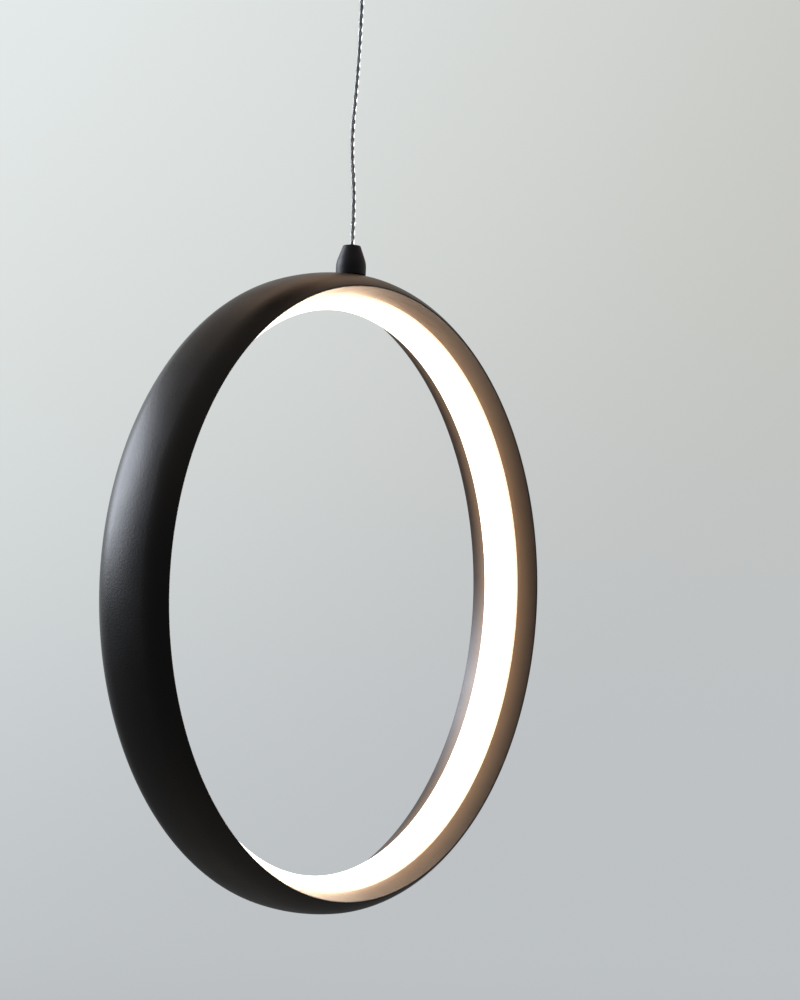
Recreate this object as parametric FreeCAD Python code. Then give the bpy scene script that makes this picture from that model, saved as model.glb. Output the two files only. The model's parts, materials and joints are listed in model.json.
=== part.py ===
"""LED ring pendant: a domed ring, lit on its inner side, hung on one thin cable from a round canopy.

Millimetres, +Z up. The origin is on the ceiling plane, in the middle of the mounting bar, and everything
hangs below it on the Z axis. The ring stands upright, with its own axis along Y, so its round outline lies
in the XZ plane. Ring outlines are pairs (along the ring's axis, out from the ring's centre).
"""
import FreeCAD
import Part
import math
import os

Vector = FreeCAD.Vector
RIGHT = Vector(1, 0, 0)
BACK = Vector(0, 1, 0)
UP = Vector(0, 0, 1)
CENTRE = Vector(0, 0, 0)
FULL_TURN = 360.0
HALF_TURN = 180.0
QUARTER_TURN = 90.0
HEXAGON_SIDES = 6

# Clearances, and one overrun for every cut
OVERRUN = 1.0
RUNNING_CLEARANCE = 0.05
SEAT_CLEARANCE = 0.1
JOINT_CLEARANCE = 0.15
SMALLEST_EDGE = 0.0001

# Ring housing: a rolled aluminium band with a domed back and a flared lip each side of the light channel.
# The band's width is taken at the sharp ridges, before they are rounded.
OUTER_RADIUS = 150.0
BAND_WIDTH = 40.1
DOME_RISE = 7.2
CREST_ARC_RADIUS = 55.0
CREST_SHARE = 0.45
LIP_DEPTH = 3.45
RIDGE_ROUNDING = 0.5
CREST_WALL = 3.5
CHANNEL_WIDTH = 19.9
GROOVE_DEPTH = 0.9
GROOVE_HEIGHT = 1.8
GROOVE_SETBACK = 2.0

# Diffuser: an opal half-round strip whose two feet snap into the channel's grooves
DIFFUSER_CROWN = 6.8
DIFFUSER_WALL = 1.6
FOOT_THICKNESS = 1.3
BEAD_LEAD_SHARE = 0.6

# LED strip on the channel floor, with its ends apart under the cable grip
STRIP_WIDTH = 10.0
STRIP_THICKNESS = 0.35
STRIP_END_OFFSET = 11.0
CHIP_PITCH = 8.4
CHIP_LENGTH = 2.8
CHIP_WIDTH = 3.5
CHIP_HEIGHT = 0.8
CHIPS_PER_RESISTOR = 3
RESISTOR_LENGTH = 1.6
RESISTOR_WIDTH = 3.2
RESISTOR_HEIGHT = 0.6

# Cable grips: one on the ring and the same one, turned over, under the canopy
GRIP_RADIUS = 7.15
GRIP_TIP_RADIUS = 4.1
GRIP_HEIGHT = 14.0
GRIP_SHOULDER_SHARE = 0.405
GRIP_SIDE_ROUNDING = 12.0
GRIP_TIP_ROUNDING = 0.5
GRIP_BASE_ROUNDING = 0.3
MOUTH_DEPTH = 2.0
MOUTH_FLARE = 26.0
GRIP_SCREW_SHARE = 0.6
GRIP_SCREW_RADIUS = 1.5
GRIP_SCREW_SINK = 0.6
SOCKET_WIDTH = 1.5
SOCKET_DEPTH = 1.2
LOWER_SCREW_HEADING = 38.0
UPPER_SCREW_HEADING = 180.0

# Threaded nipples, washers, nuts and crimped cable stops that clamp the grips and carry the load
NIPPLE_RADIUS = 4.0
NIPPLE_BORE = 2.5
NIPPLE_ENGAGEMENT = 6.0
NIPPLE_STICKOUT = 0.6
NUT_WIDTH = 12.0
NUT_HEIGHT = 2.6
NUT_CHAMFER = 0.6
WASHER_RADIUS = 7.2
WASHER_THICKNESS = 0.8
STOP_RADIUS = 3.2
STOP_LENGTH = 3.2
STOP_WAIST_SHARE = 0.8

# Cable: its free stretch between the pivots in the two grip mouths, and how far it bows to one side
CABLE_DIAMETER = 1.9
CABLE_SPAN = 134.0
SWING_ANGLE = 20.0
BOW_HEADING = -54.3
CABLE_ROUTE = [(0.0, 0.0), (0.19, 0.1), (0.41, -0.8), (0.62, -2.4), (0.82, 0.5), (1.0, 0.0)]

# Canopy cup and the bar that it hangs from
CANOPY_RADIUS = 60.0
CANOPY_HEIGHT = 28.0
CANOPY_WALL = 1.2
CANOPY_ROUNDING = 5.0
CANOPY_RIM_ROUNDING = 0.4
BAR_WIDTH = 18.0
BAR_THICKNESS = 1.5
BAR_BEND = 0.5
BAR_TO_CANOPY = 0.3
EAR_DROP = 13.0
SLOT_SPACING = 70.0
SLOT_LENGTH = 12.0
SLOT_WIDTH = 4.5
CANOPY_SCREW_DROP = 8.0
CANOPY_SCREW_RADIUS = 2.0
CANOPY_SCREW_LENGTH = 7.0
CANOPY_SCREW_HEAD_RADIUS = 3.8
CANOPY_SCREW_HEAD_HEIGHT = 2.2
GROUND_SCREW_OFFSET = 17.0
GROUND_SCREW_RADIUS = 2.0
GROUND_SCREW_HEAD_RADIUS = 3.6
GROUND_SCREW_HEAD_HEIGHT = 2.4
LUG_THICKNESS = 0.8
LUG_HEADING = 30.0
LUG_TONGUE_WIDTH = 1.5
LUG_TONGUE_REACH = 0.5
BARREL_RADIUS = 0.95
BARREL_LENGTH = 3.0
SCREW_SLOT_WIDTH = 0.9
SCREW_SLOT_SHARE = 0.45
HEAD_ROUNDING_SHARE = 0.5

# Driver: a small boxed power supply taped to the canopy floor. It is as wide as the canopy leaves room for.
DRIVER_LENGTH = 64.0
DRIVER_HEIGHT = 17.0
DRIVER_WALL = 1.6
DRIVER_CORNER = 2.5
DRIVER_TO_AXIS = 12.0
DRIVER_TO_CANOPY = 6.0
DRIVER_PAD_THICKNESS = 1.0
DRIVER_PAD_INSET = 4.0
LID_THICKNESS = 2.0
LID_PLUG_DEPTH = 1.5
BOARD_THICKNESS = 1.2
BOARD_GAP = 0.4
BOARD_LEDGE_HEIGHT = 2.4
BOARD_LEDGE_WIDTH = 1.4
TRANSFORMER_LENGTH = 14.0
TRANSFORMER_WIDTH_SHARE = 0.485
TRANSFORMER_HEIGHT_SHARE = 0.93
CORE_END_SHARE = 0.24
CORE_WAIST_SHARE = 0.7
CAPACITOR_RADIUS = 3.6
CAPACITOR_HEIGHT_SHARE = 0.95
CAPACITOR_ROUNDING = 0.6
CAPACITOR_PLACE_SHARES = [(-0.97, -0.64), (-0.52, 0.7), (0.97, 0.0)]
TRANSFORMER_PLACE_SHARE = 0.08
LID_BOSS_RADIUS = 2.4
LID_SCREW_RADIUS = 1.1
LID_SCREW_LENGTH = 7.0
LID_SCREW_HEAD_RADIUS = 2.0
LID_SCREW_HEAD_HEIGHT = 1.0
LEAD_HOLE_RADIUS = 1.1
LEAD_HOLE_DROP_SHARE = 0.36

# Terminal block under the bar: three poles side by side
TERMINAL_TO_AXIS = 8.0
TERMINAL_LENGTH = 16.0
TERMINAL_PITCH = 7.0
TERMINAL_HEIGHT = 7.0
TERMINAL_ROUNDING = 1.0
TOWER_RADIUS = 2.7
TOWER_HEIGHT = 3.5
TOWER_PLACE_SHARE = 0.27
TERMINAL_POLES = 3
TERMINAL_BORE_RADIUS = 1.4
TERMINAL_BORE_DROP = 3.4
CLAMP_SCREW_RADIUS = 1.5
CLAMP_SCREW_LENGTH = 4.5
FIXING_SCREW_RADIUS = 0.9
FIXING_HEAD_RADIUS = 1.3
FIXING_HEAD_HEIGHT = 0.9

# Single wires inside the canopy and the ring
LEAD_RADIUS = 0.6
LEAD_SPACING = 3.0
LEAD_PAIR_OFFSET = 1.2
LEAD_RISE = 2.6
LEAD_BEND = 9.0
RING_LEAD_RADIUS = 0.45
RING_LEAD_PAD = 4.2
RING_LEAD_SHARES = [(0.0, 0.0), (0.06, -0.32), (0.265, -0.5), (0.544, -0.1), (0.735, 0.92), (1.0, 1.0)]

# Sizes worked out from the ones above
HALF_BAND = BAND_WIDTH / 2
HALF_CHANNEL = CHANNEL_WIDTH / 2
RIDGE_RADIUS = OUTER_RADIUS - DOME_RISE
MOUTH_RADIUS = RIDGE_RADIUS - LIP_DEPTH
FLOOR_RADIUS = OUTER_RADIUS - CREST_WALL
GROOVE_LOW = MOUTH_RADIUS + GROOVE_SETBACK
GROOVE_HIGH = GROOVE_LOW + GROOVE_HEIGHT
APEX_RADIUS = MOUTH_RADIUS - DIFFUSER_CROWN
STRIP_OUTSIDE = FLOOR_RADIUS - SEAT_CLEARANCE
STRIP_INSIDE = STRIP_OUTSIDE - STRIP_THICKNESS
CABLE_RADIUS = CABLE_DIAMETER / 2
BORE_RADIUS = CABLE_RADIUS + RUNNING_CLEARANCE
PIVOT_HEIGHT = GRIP_HEIGHT - MOUTH_DEPTH
CAVITY_RADIUS = (CABLE_RADIUS + JOINT_CLEARANCE) / math.cos(math.radians(MOUTH_FLARE))
TAIL_GAP = CABLE_RADIUS * math.sin(math.radians(SWING_ANGLE)) + JOINT_CLEARANCE
UPPER_PIVOT = -CANOPY_HEIGHT - PIVOT_HEIGHT
LOWER_PIVOT = UPPER_PIVOT - CABLE_SPAN
LOWER_GRIP_BASE = LOWER_PIVOT - PIVOT_HEIGHT
RING_CENTRE = LOWER_GRIP_BASE - JOINT_CLEARANCE - OUTER_RADIUS
CANOPY_FLOOR = CANOPY_WALL - CANOPY_HEIGHT
CANOPY_INSIDE = CANOPY_RADIUS - CANOPY_WALL
EAR_OUTSIDE = math.sqrt((CANOPY_INSIDE - BAR_TO_CANOPY) ** 2 - (BAR_WIDTH / 2) ** 2)
EAR_INSIDE = EAR_OUTSIDE - BAR_THICKNESS
LOWER_WALL = CREST_WALL + JOINT_CLEARANCE
LOWER_STOP_DROP = CREST_WALL + WASHER_THICKNESS + NUT_HEIGHT + NIPPLE_STICKOUT + SEAT_CLEARANCE
UPPER_STOP_BASE = CANOPY_FLOOR + WASHER_THICKNESS + NUT_HEIGHT + NIPPLE_STICKOUT
DRIVER_REACH = math.sqrt((CANOPY_INSIDE - DRIVER_TO_CANOPY) ** 2 - (DRIVER_LENGTH / 2) ** 2)
DRIVER_WIDTH = DRIVER_REACH - DRIVER_TO_AXIS
DRIVER_BASE = CANOPY_FLOOR + DRIVER_PAD_THICKNESS
DRIVER_MIDDLE = DRIVER_TO_AXIS + DRIVER_WIDTH / 2
DRIVER_TOP = DRIVER_BASE + DRIVER_HEIGHT
LEAD_HOLE_HEIGHT = DRIVER_TOP - LEAD_HOLE_DROP_SHARE * DRIVER_HEIGHT
BOARD_BASE = DRIVER_BASE + DRIVER_WALL + BOARD_LEDGE_HEIGHT
BOARD_TOP = BOARD_BASE + BOARD_THICKNESS
BOARD_ROOM = DRIVER_TOP - LID_THICKNESS - LID_PLUG_DEPTH - BOARD_TOP
TRANSFORMER_WIDTH = TRANSFORMER_WIDTH_SHARE * (DRIVER_WIDTH - 2 * DRIVER_WALL)
TRANSFORMER_HEIGHT = TRANSFORMER_HEIGHT_SHARE * BOARD_ROOM
CAPACITOR_HEIGHT = CAPACITOR_HEIGHT_SHARE * BOARD_ROOM
TERMINAL_WIDTH = TERMINAL_PITCH * TERMINAL_POLES
TERMINAL_INNER_FACE = -TERMINAL_TO_AXIS
TERMINAL_OUTER_FACE = TERMINAL_INNER_FACE - TERMINAL_LENGTH
TERMINAL_BOTTOM = -BAR_THICKNESS - TERMINAL_HEIGHT
TERMINAL_BORE_HEIGHT = -BAR_THICKNESS - TERMINAL_BORE_DROP


def tangent_arc_radius(before, corner, after):
    """Gentle arc at a corner of a route: 0.45 of the shorter run, over the tangent of half the turn."""
    into = corner - before
    onward = after - corner
    arc_share = 0.45
    return arc_share * min(into.Length, onward.Length) / math.tan(into.getAngle(onward) / 2)


def rounded_edges(points, roundings, closed):
    """Lines from point to point, with a tangent arc of the given radius at each corner that has one."""
    count = len(points)
    starts = []
    ends = []
    arcs = []
    for i, corner in enumerate(points):
        is_end = not closed and i in (0, count - 1)
        rounding = 0 if is_end else roundings[i]
        if rounding == 0:
            starts.append(corner)
            ends.append(corner)
            arcs.append(None)
            continue
        into = corner - points[i - 1]
        onward = points[(i + 1) % count] - corner
        into = into / into.Length
        onward = onward / onward.Length
        half = into.getAngle(onward) / 2
        reach = rounding * math.tan(half)
        inward = (onward - into) / (onward - into).Length
        start = corner - into * reach
        end = corner + onward * reach
        middle = corner + inward * (rounding / math.cos(half) - rounding)
        starts.append(start)
        ends.append(end)
        arcs.append(Part.Arc(start, middle, end).toShape())
    edges = []
    for i in range(count):
        if arcs[i]:
            edges.append(arcs[i])
        if i == count - 1 and not closed:
            break
        here = ends[i]
        there = starts[(i + 1) % count]
        if (there - here).Length > SMALLEST_EDGE:
            edges.append(Part.LineSegment(here, there).toShape())
    return edges


def upright(corner):
    """An outline corner (out from the Z axis, up) as a point of the XZ plane."""
    return Vector(corner[0], 0, corner[1])


def flat(corner):
    """An outline corner (right, back) as a point of the XY plane."""
    return Vector(corner[0], corner[1], 0)


def crosswise(corner):
    """A ring outline corner (along the ring's axis, out from its centre) as a point above that centre."""
    return Vector(0, corner[0], corner[1])


def outline_face(corners, place):
    """A flat face inside a closed outline. A corner is (across, up), its rounding third if it has one."""
    points = [place(corner) for corner in corners]
    roundings = [corner[2] if len(corner) > 2 else 0 for corner in corners]
    return Part.Face(Part.Wire(rounded_edges(points, roundings, True)))


def turned(corners):
    """A piece turned about the Z axis from its half outline."""
    return outline_face(corners, upright).revolve(CENTRE, UP, FULL_TURN)


def cylinder(radius, length, foot=CENTRE, direction=UP):
    return Part.makeCylinder(radius, length, foot, direction)


def plate(length, width, thickness, middle_x, middle_y, low, corner=0):
    """A block with rounded upright edges, centred on (middle_x, middle_y), its underside at low."""
    left = middle_x - length / 2
    front = middle_y - width / 2
    rim = [(left, front), (left + length, front), (left + length, front + width), (left, front + width)]
    face = outline_face([(x, y, corner) for x, y in rim], flat)
    face.translate(Vector(0, 0, low))
    return face.extrude(Vector(0, 0, thickness))


def moved(shape, offset):
    copy = shape.copy()
    copy.translate(offset)
    return copy


def spun(shape, axis, angle, centre=CENTRE):
    copy = shape.copy()
    copy.rotate(centre, axis, angle)
    return copy


def tube_along(points, radius):
    """A round wire or cable along straight runs joined by tangent arcs. Its length and bends are printed."""
    roundings = [0] * len(points)
    for i in range(1, len(points) - 1):
        roundings[i] = tangent_arc_radius(points[i - 1], points[i], points[i + 1])
    path = Part.Wire(rounded_edges(points, roundings, False))
    start = points[1] - points[0]
    section = Part.Wire(Part.Circle(points[0], start, radius).toShape())
    tube = path.makePipeShell([section], True, False)
    tightest = min(roundings[1:-1])
    ratio = tube.Volume / (math.pi * radius ** 2 * path.Length)
    print("tube: length %.1f, tightest arc %.1f, diameter %.1f, volume ratio %.4f"
          % (path.Length, tightest, 2 * radius, ratio))
    return tube


# Ring housing and what it holds. These are made about the ring's centre and then moved down to it.

def in_ring(shape):
    return moved(shape, Vector(0, 0, RING_CENTRE))


def dome_edges():
    """The band's back, from ridge to ridge: a flat arc over the crest and a rounder one each side.

    The shoulder arc leaves the crest arc without a kink and ends on the ridge, which fixes its radius.
    """
    crest_half = CREST_SHARE * HALF_BAND
    lean = math.asin(crest_half / CREST_ARC_RADIUS)
    join = Vector(0, crest_half, OUTER_RADIUS - CREST_ARC_RADIUS * (1 - math.cos(lean)))
    ridge = Vector(0, HALF_BAND, RIDGE_RADIUS)
    inward = Vector(0, -math.sin(lean), -math.cos(lean))
    chord = ridge - join
    radius = chord.Length ** 2 / (2 * inward.dot(chord))
    centre = join + inward * radius
    towards_middle = (join + ridge) / 2 - centre
    middle = centre + towards_middle / towards_middle.Length * radius

    def mirrored(point):
        return Vector(0, -point.y, point.z)

    top = Vector(0, 0, OUTER_RADIUS)
    front = Part.Arc(mirrored(ridge), mirrored(middle), mirrored(join)).toShape()
    crest = Part.Arc(mirrored(join), top, join).toShape()
    back = Part.Arc(join, middle, ridge).toShape()
    return [front, crest, back]


def mirrored_outline(half):
    """A whole outline from its back half, the mirror image following in reverse."""
    return half + [(-across, *rest) for across, *rest in reversed(half)]


def make_housing():
    half_channel = [
        (HALF_BAND, RIDGE_RADIUS),
        (HALF_CHANNEL, MOUTH_RADIUS),
        (HALF_CHANNEL, GROOVE_LOW),
        (HALF_CHANNEL + GROOVE_DEPTH, GROOVE_LOW),
        (HALF_CHANNEL + GROOVE_DEPTH, GROOVE_HIGH),
        (HALF_CHANNEL, GROOVE_HIGH),
        (HALF_CHANNEL, FLOOR_RADIUS),
    ]
    corners = [crosswise(corner) for corner in mirrored_outline(half_channel)]
    inner_edges = rounded_edges(corners, [0] * len(corners), False)
    section = Part.Face(Part.Wire(Part.__sortEdges__(dome_edges() + inner_edges)))
    band = section.revolve(CENTRE, BACK, FULL_TURN)
    ridges = [edge for edge in band.Edges if abs(abs(edge.BoundBox.YMin) - HALF_BAND) < RIDGE_ROUNDING
              and edge.BoundBox.YLength < RIDGE_ROUNDING]
    band = band.makeFillet(RIDGE_ROUNDING, ridges)
    nut_seat = cylinder(WASHER_RADIUS + SEAT_CLEARANCE, CREST_WALL, Vector(0, 0, FLOOR_RADIUS - CREST_WALL))
    nipple_hole = cylinder(NIPPLE_RADIUS + RUNNING_CLEARANCE, CREST_WALL + 2 * OVERRUN,
                           Vector(0, 0, FLOOR_RADIUS - OVERRUN))
    return band.cut(nut_seat).cut(nipple_hole)


def make_diffuser():
    """Half-round, with two legs up the channel walls and a bead on each leg in its groove."""
    leg = HALF_CHANNEL - SEAT_CLEARANCE
    inner_leg = leg - FOOT_THICKNESS
    bead = HALF_CHANNEL + GROOVE_DEPTH - SEAT_CLEARANCE
    bead_low = GROOVE_LOW + SEAT_CLEARANCE
    bead_high = GROOVE_HIGH - SEAT_CLEARANCE
    bead_lead = bead_low + BEAD_LEAD_SHARE * (bead_high - bead_low)
    outside = [crosswise(point) for point in ((leg, MOUTH_RADIUS), (0, APEX_RADIUS), (-leg, MOUTH_RADIUS))]
    inside = [crosswise(point) for point in ((-inner_leg, MOUTH_RADIUS), (0, APEX_RADIUS + DIFFUSER_WALL),
                                             (inner_leg, MOUTH_RADIUS))]
    back_leg = [(inner_leg, MOUTH_RADIUS), (inner_leg, bead_high), (leg, bead_high), (bead, bead_lead),
                (bead, bead_low), (leg, bead_low), (leg, MOUTH_RADIUS)]
    front_leg = [(-across, out) for across, out in reversed(back_leg)]
    edges = [Part.Arc(*outside).toShape(), Part.Arc(*inside).toShape()]
    for outline in (back_leg, front_leg):
        edges += rounded_edges([crosswise(point) for point in outline], [0] * len(outline), False)
    section = Part.Face(Part.Wire(Part.__sortEdges__(edges)))
    return section.revolve(CENTRE, BACK, FULL_TURN)


def strip_end_angle():
    return math.degrees(math.asin(STRIP_END_OFFSET / STRIP_OUTSIDE))


def make_strip():
    """A flexible board lying round the channel floor, open at the top where the cable comes in."""
    half = STRIP_WIDTH / 2
    section = outline_face([(-half, STRIP_INSIDE), (half, STRIP_INSIDE), (half, STRIP_OUTSIDE),
                            (-half, STRIP_OUTSIDE)], crosswise)
    start = strip_end_angle()
    return spun(section, BACK, start).revolve(CENTRE, BACK, FULL_TURN - 2 * start)


def chip_angles():
    """Evenly spaced angles round the strip, about one chip pitch apart."""
    start = strip_end_angle()
    sweep = FULL_TURN - 2 * start
    gaps = int(math.radians(sweep) * STRIP_INSIDE / CHIP_PITCH)
    return [start + sweep * i / gaps for i in range(1, gaps)]


def strip_seat(length):
    """Distance from the ring's centre at which a flat block's two ends touch the curved strip."""
    return math.sqrt(STRIP_INSIDE ** 2 - (length / 2) ** 2)


def round_strip(piece, angles):
    return Part.makeCompound([spun(piece, BACK, angle) for angle in angles])


def make_chips():
    """Surface-mounted LEDs, standing on the strip and facing the ring's centre."""
    body = plate(CHIP_LENGTH, CHIP_WIDTH, CHIP_HEIGHT, 0, 0, strip_seat(CHIP_LENGTH) - CHIP_HEIGHT)
    return round_strip(body, chip_angles())


def make_resistors():
    angles = chip_angles()
    gaps = [(angles[i] + angles[i + 1]) / 2 for i in range(0, len(angles) - 1, CHIPS_PER_RESISTOR)]
    body = plate(RESISTOR_LENGTH, RESISTOR_WIDTH, RESISTOR_HEIGHT, 0, 0,
                 strip_seat(RESISTOR_LENGTH) - RESISTOR_HEIGHT)
    return round_strip(body, gaps)


def make_ring_leads():
    """Two wires from the cable stop down, out to each side and up, to lie along the strip's ends."""
    low = OUTER_RADIUS - LOWER_STOP_DROP - STOP_LENGTH - JOINT_CLEARANCE
    start = Vector(STOP_RADIUS / 2, 0, low - RING_LEAD_RADIUS / 2)
    reach = STRIP_END_OFFSET + RING_LEAD_PAD
    rest = math.sqrt(STRIP_INSIDE ** 2 - reach ** 2) - RING_LEAD_RADIUS - RUNNING_CLEARANCE
    span = Vector(reach, 0, rest) - start
    route = [start + Vector(out * span.x, 0, up * span.z) for out, up in RING_LEAD_SHARES]
    lead = tube_along(route, RING_LEAD_RADIUS)
    return Part.makeCompound([lead, spun(lead, UP, HALF_TURN)])


# Fittings that both ends of the cable share. Each is made standing up, with its seat at height zero.

def make_grip():
    """Bullet-shaped grip: straight skirt, bulged side, cone, and a flared mouth for the leaning cable."""
    flare_rise = MOUTH_DEPTH * math.tan(math.radians(MOUTH_FLARE))
    thread = NIPPLE_RADIUS + RUNNING_CLEARANCE
    cavity_floor = PIVOT_HEIGHT - TAIL_GAP
    body = turned([
        (thread, 0),
        (GRIP_RADIUS, 0, GRIP_BASE_ROUNDING),
        (GRIP_RADIUS, GRIP_SHOULDER_SHARE * GRIP_HEIGHT, GRIP_SIDE_ROUNDING),
        (GRIP_TIP_RADIUS, GRIP_HEIGHT, GRIP_TIP_ROUNDING),
        (CAVITY_RADIUS + flare_rise, GRIP_HEIGHT),
        (CAVITY_RADIUS, PIVOT_HEIGHT),
        (CAVITY_RADIUS, cavity_floor),
        (BORE_RADIUS, cavity_floor),
        (BORE_RADIUS, NIPPLE_ENGAGEMENT),
        (thread, NIPPLE_ENGAGEMENT),
    ])
    hole = cylinder(GRIP_SCREW_RADIUS + RUNNING_CLEARANCE, GRIP_RADIUS + OVERRUN,
                    Vector(0, 0, GRIP_SCREW_SHARE * GRIP_HEIGHT), RIGHT)
    return body.cut(hole)


def grip_side_radius(height):
    """Radius of the grip's cone at a height, past its bulge."""
    shoulder = GRIP_SHOULDER_SHARE * GRIP_HEIGHT
    along = (height - shoulder) / (GRIP_HEIGHT - shoulder)
    return GRIP_RADIUS + along * (GRIP_TIP_RADIUS - GRIP_RADIUS)


def hexagon_corner(width):
    """Distance from a hexagon's middle to its corners, from its width across the flats."""
    return width / 2 / math.cos(math.radians(HALF_TURN / HEXAGON_SIDES))


def hexagon(width, height, low):
    corner_radius = hexagon_corner(width)
    corners = []
    for i in range(HEXAGON_SIDES):
        angle = math.radians(i * FULL_TURN / HEXAGON_SIDES)
        corners.append((corner_radius * math.cos(angle), corner_radius * math.sin(angle)))
    return moved(outline_face(corners, flat), Vector(0, 0, low)).extrude(Vector(0, 0, height))


def make_grip_screw():
    """Headless screw that pinches the cable's tail, with its hexagon socket just below the grip's side."""
    height = GRIP_SCREW_SHARE * GRIP_HEIGHT
    length = grip_side_radius(height) - GRIP_SCREW_SINK - CABLE_RADIUS
    socket = hexagon(SOCKET_WIDTH, SOCKET_DEPTH + OVERRUN, length - SOCKET_DEPTH)
    screw = cylinder(GRIP_SCREW_RADIUS, length).cut(socket)
    return moved(spun(screw, BACK, QUARTER_TURN), Vector(CABLE_RADIUS, 0, height))


def make_nipple(wall):
    """Threaded tube through a wall of the given thickness, from the nut's side up into the grip."""
    below = wall + WASHER_THICKNESS + NUT_HEIGHT + NIPPLE_STICKOUT
    length = below + NIPPLE_ENGAGEMENT - SEAT_CLEARANCE
    return turned([(NIPPLE_BORE, -below), (NIPPLE_RADIUS, -below), (NIPPLE_RADIUS, length - below),
                   (NIPPLE_BORE, length - below)])


def make_washer(wall):
    hole = NIPPLE_RADIUS + RUNNING_CLEARANCE
    return turned([(hole, -wall - WASHER_THICKNESS), (WASHER_RADIUS, -wall - WASHER_THICKNESS),
                   (WASHER_RADIUS, -wall), (hole, -wall)])


def make_nut(wall):
    low = -wall - WASHER_THICKNESS - NUT_HEIGHT
    corner_radius = hexagon_corner(NUT_WIDTH)
    blank = turned([(NIPPLE_RADIUS + RUNNING_CLEARANCE, low), (corner_radius - NUT_CHAMFER, low),
                    (corner_radius, low + NUT_CHAMFER), (corner_radius, low + NUT_HEIGHT),
                    (NIPPLE_RADIUS + RUNNING_CLEARANCE, low + NUT_HEIGHT)])
    return blank.common(hexagon(NUT_WIDTH, NUT_HEIGHT + 2 * OVERRUN, low - OVERRUN))


def make_stop(wall, gap):
    """Crimped ferrule on the cable's tail, under the nipple's end, waisted where the tool pressed it."""
    high = -wall - WASHER_THICKNESS - NUT_HEIGHT - NIPPLE_STICKOUT - gap
    low = high - STOP_LENGTH
    waist = STOP_WAIST_SHARE * STOP_RADIUS
    quarter = STOP_LENGTH / 4
    return turned([
        (BORE_RADIUS, low), (STOP_RADIUS, low), (STOP_RADIUS, low + quarter),
        (waist, low + 3 * quarter / 2), (waist, high - 3 * quarter / 2),
        (STOP_RADIUS, high - quarter), (STOP_RADIUS, high), (BORE_RADIUS, high),
    ])


def make_tail(wall, gap):
    """The cable's held end, from its stop up through the nipple and grip to just under the pivot."""
    low = -wall - WASHER_THICKNESS - NUT_HEIGHT - NIPPLE_STICKOUT - gap - STOP_LENGTH
    return cylinder(CABLE_RADIUS, PIVOT_HEIGHT - TAIL_GAP - low, Vector(0, 0, low))


def on_ring(shape, heading=0):
    return moved(spun(shape, UP, heading), Vector(0, 0, LOWER_GRIP_BASE))


def under_canopy(shape, heading=0):
    return moved(spun(spun(shape, UP, heading), RIGHT, HALF_TURN), Vector(0, 0, -CANOPY_HEIGHT))


def cable_points():
    heading = math.radians(BOW_HEADING)
    points = []
    for share, bow in CABLE_ROUTE:
        height = UPPER_PIVOT - share * CABLE_SPAN
        points.append(Vector(bow * math.cos(heading), bow * math.sin(heading), height))
    return points


# Canopy, bar and screws

def make_canopy():
    """Spun cup, open at the ceiling, with one hole in its floor and a screw hole each side."""
    inner_rounding = CANOPY_ROUNDING - CANOPY_WALL
    hole = NIPPLE_RADIUS + RUNNING_CLEARANCE
    cup = turned([
        (hole, -CANOPY_HEIGHT),
        (CANOPY_RADIUS, -CANOPY_HEIGHT, CANOPY_ROUNDING),
        (CANOPY_RADIUS, 0, CANOPY_RIM_ROUNDING),
        (CANOPY_INSIDE, 0, CANOPY_RIM_ROUNDING),
        (CANOPY_INSIDE, CANOPY_FLOOR, inner_rounding),
        (hole, CANOPY_FLOOR),
    ])
    across = cylinder(CANOPY_SCREW_RADIUS + SEAT_CLEARANCE, 2 * (CANOPY_RADIUS + OVERRUN),
                      Vector(-CANOPY_RADIUS - OVERRUN, 0, -CANOPY_SCREW_DROP), RIGHT)
    return cup.cut(across)


def slot(middle_x):
    reach = (SLOT_LENGTH - SLOT_WIDTH) / 2
    low = Vector(middle_x, 0, -BAR_THICKNESS - OVERRUN)
    depth = BAR_THICKNESS + 2 * OVERRUN
    ends = [cylinder(SLOT_WIDTH / 2, depth, low + RIGHT * side * reach) for side in (-1, 1)]
    straight = plate(2 * reach, SLOT_WIDTH, depth, middle_x, 0, low.z)
    return straight.fuse(ends)


def make_bar():
    """Strip of steel across the canopy, its ends bent down into ears that the canopy screws go into."""
    outer_bend = BAR_BEND + BAR_THICKNESS
    outline = outline_face([
        (-EAR_OUTSIDE, 0, outer_bend),
        (EAR_OUTSIDE, 0, outer_bend),
        (EAR_OUTSIDE, -EAR_DROP),
        (EAR_INSIDE, -EAR_DROP),
        (EAR_INSIDE, -BAR_THICKNESS, BAR_BEND),
        (-EAR_INSIDE, -BAR_THICKNESS, BAR_BEND),
        (-EAR_INSIDE, -EAR_DROP),
        (-EAR_OUTSIDE, -EAR_DROP),
    ], upright)
    bar = moved(outline, Vector(0, -BAR_WIDTH / 2, 0)).extrude(Vector(0, BAR_WIDTH, 0))
    tapped = cylinder(CANOPY_SCREW_RADIUS + RUNNING_CLEARANCE, 2 * (EAR_OUTSIDE + OVERRUN),
                      Vector(-EAR_OUTSIDE - OVERRUN, 0, -CANOPY_SCREW_DROP), RIGHT)
    cuts = [tapped, slot(-SLOT_SPACING / 2), slot(SLOT_SPACING / 2),
            cylinder(GROUND_SCREW_RADIUS + RUNNING_CLEARANCE, BAR_THICKNESS + 2 * OVERRUN,
                     Vector(GROUND_SCREW_OFFSET, 0, -BAR_THICKNESS - OVERRUN)),
            cylinder(FIXING_SCREW_RADIUS + RUNNING_CLEARANCE, BAR_THICKNESS + 2 * OVERRUN,
                     Vector(terminal_middle(), TERMINAL_PITCH / 2, -BAR_THICKNESS - OVERRUN))]
    for cutter in cuts:
        bar = bar.cut(cutter)
    return bar


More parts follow.
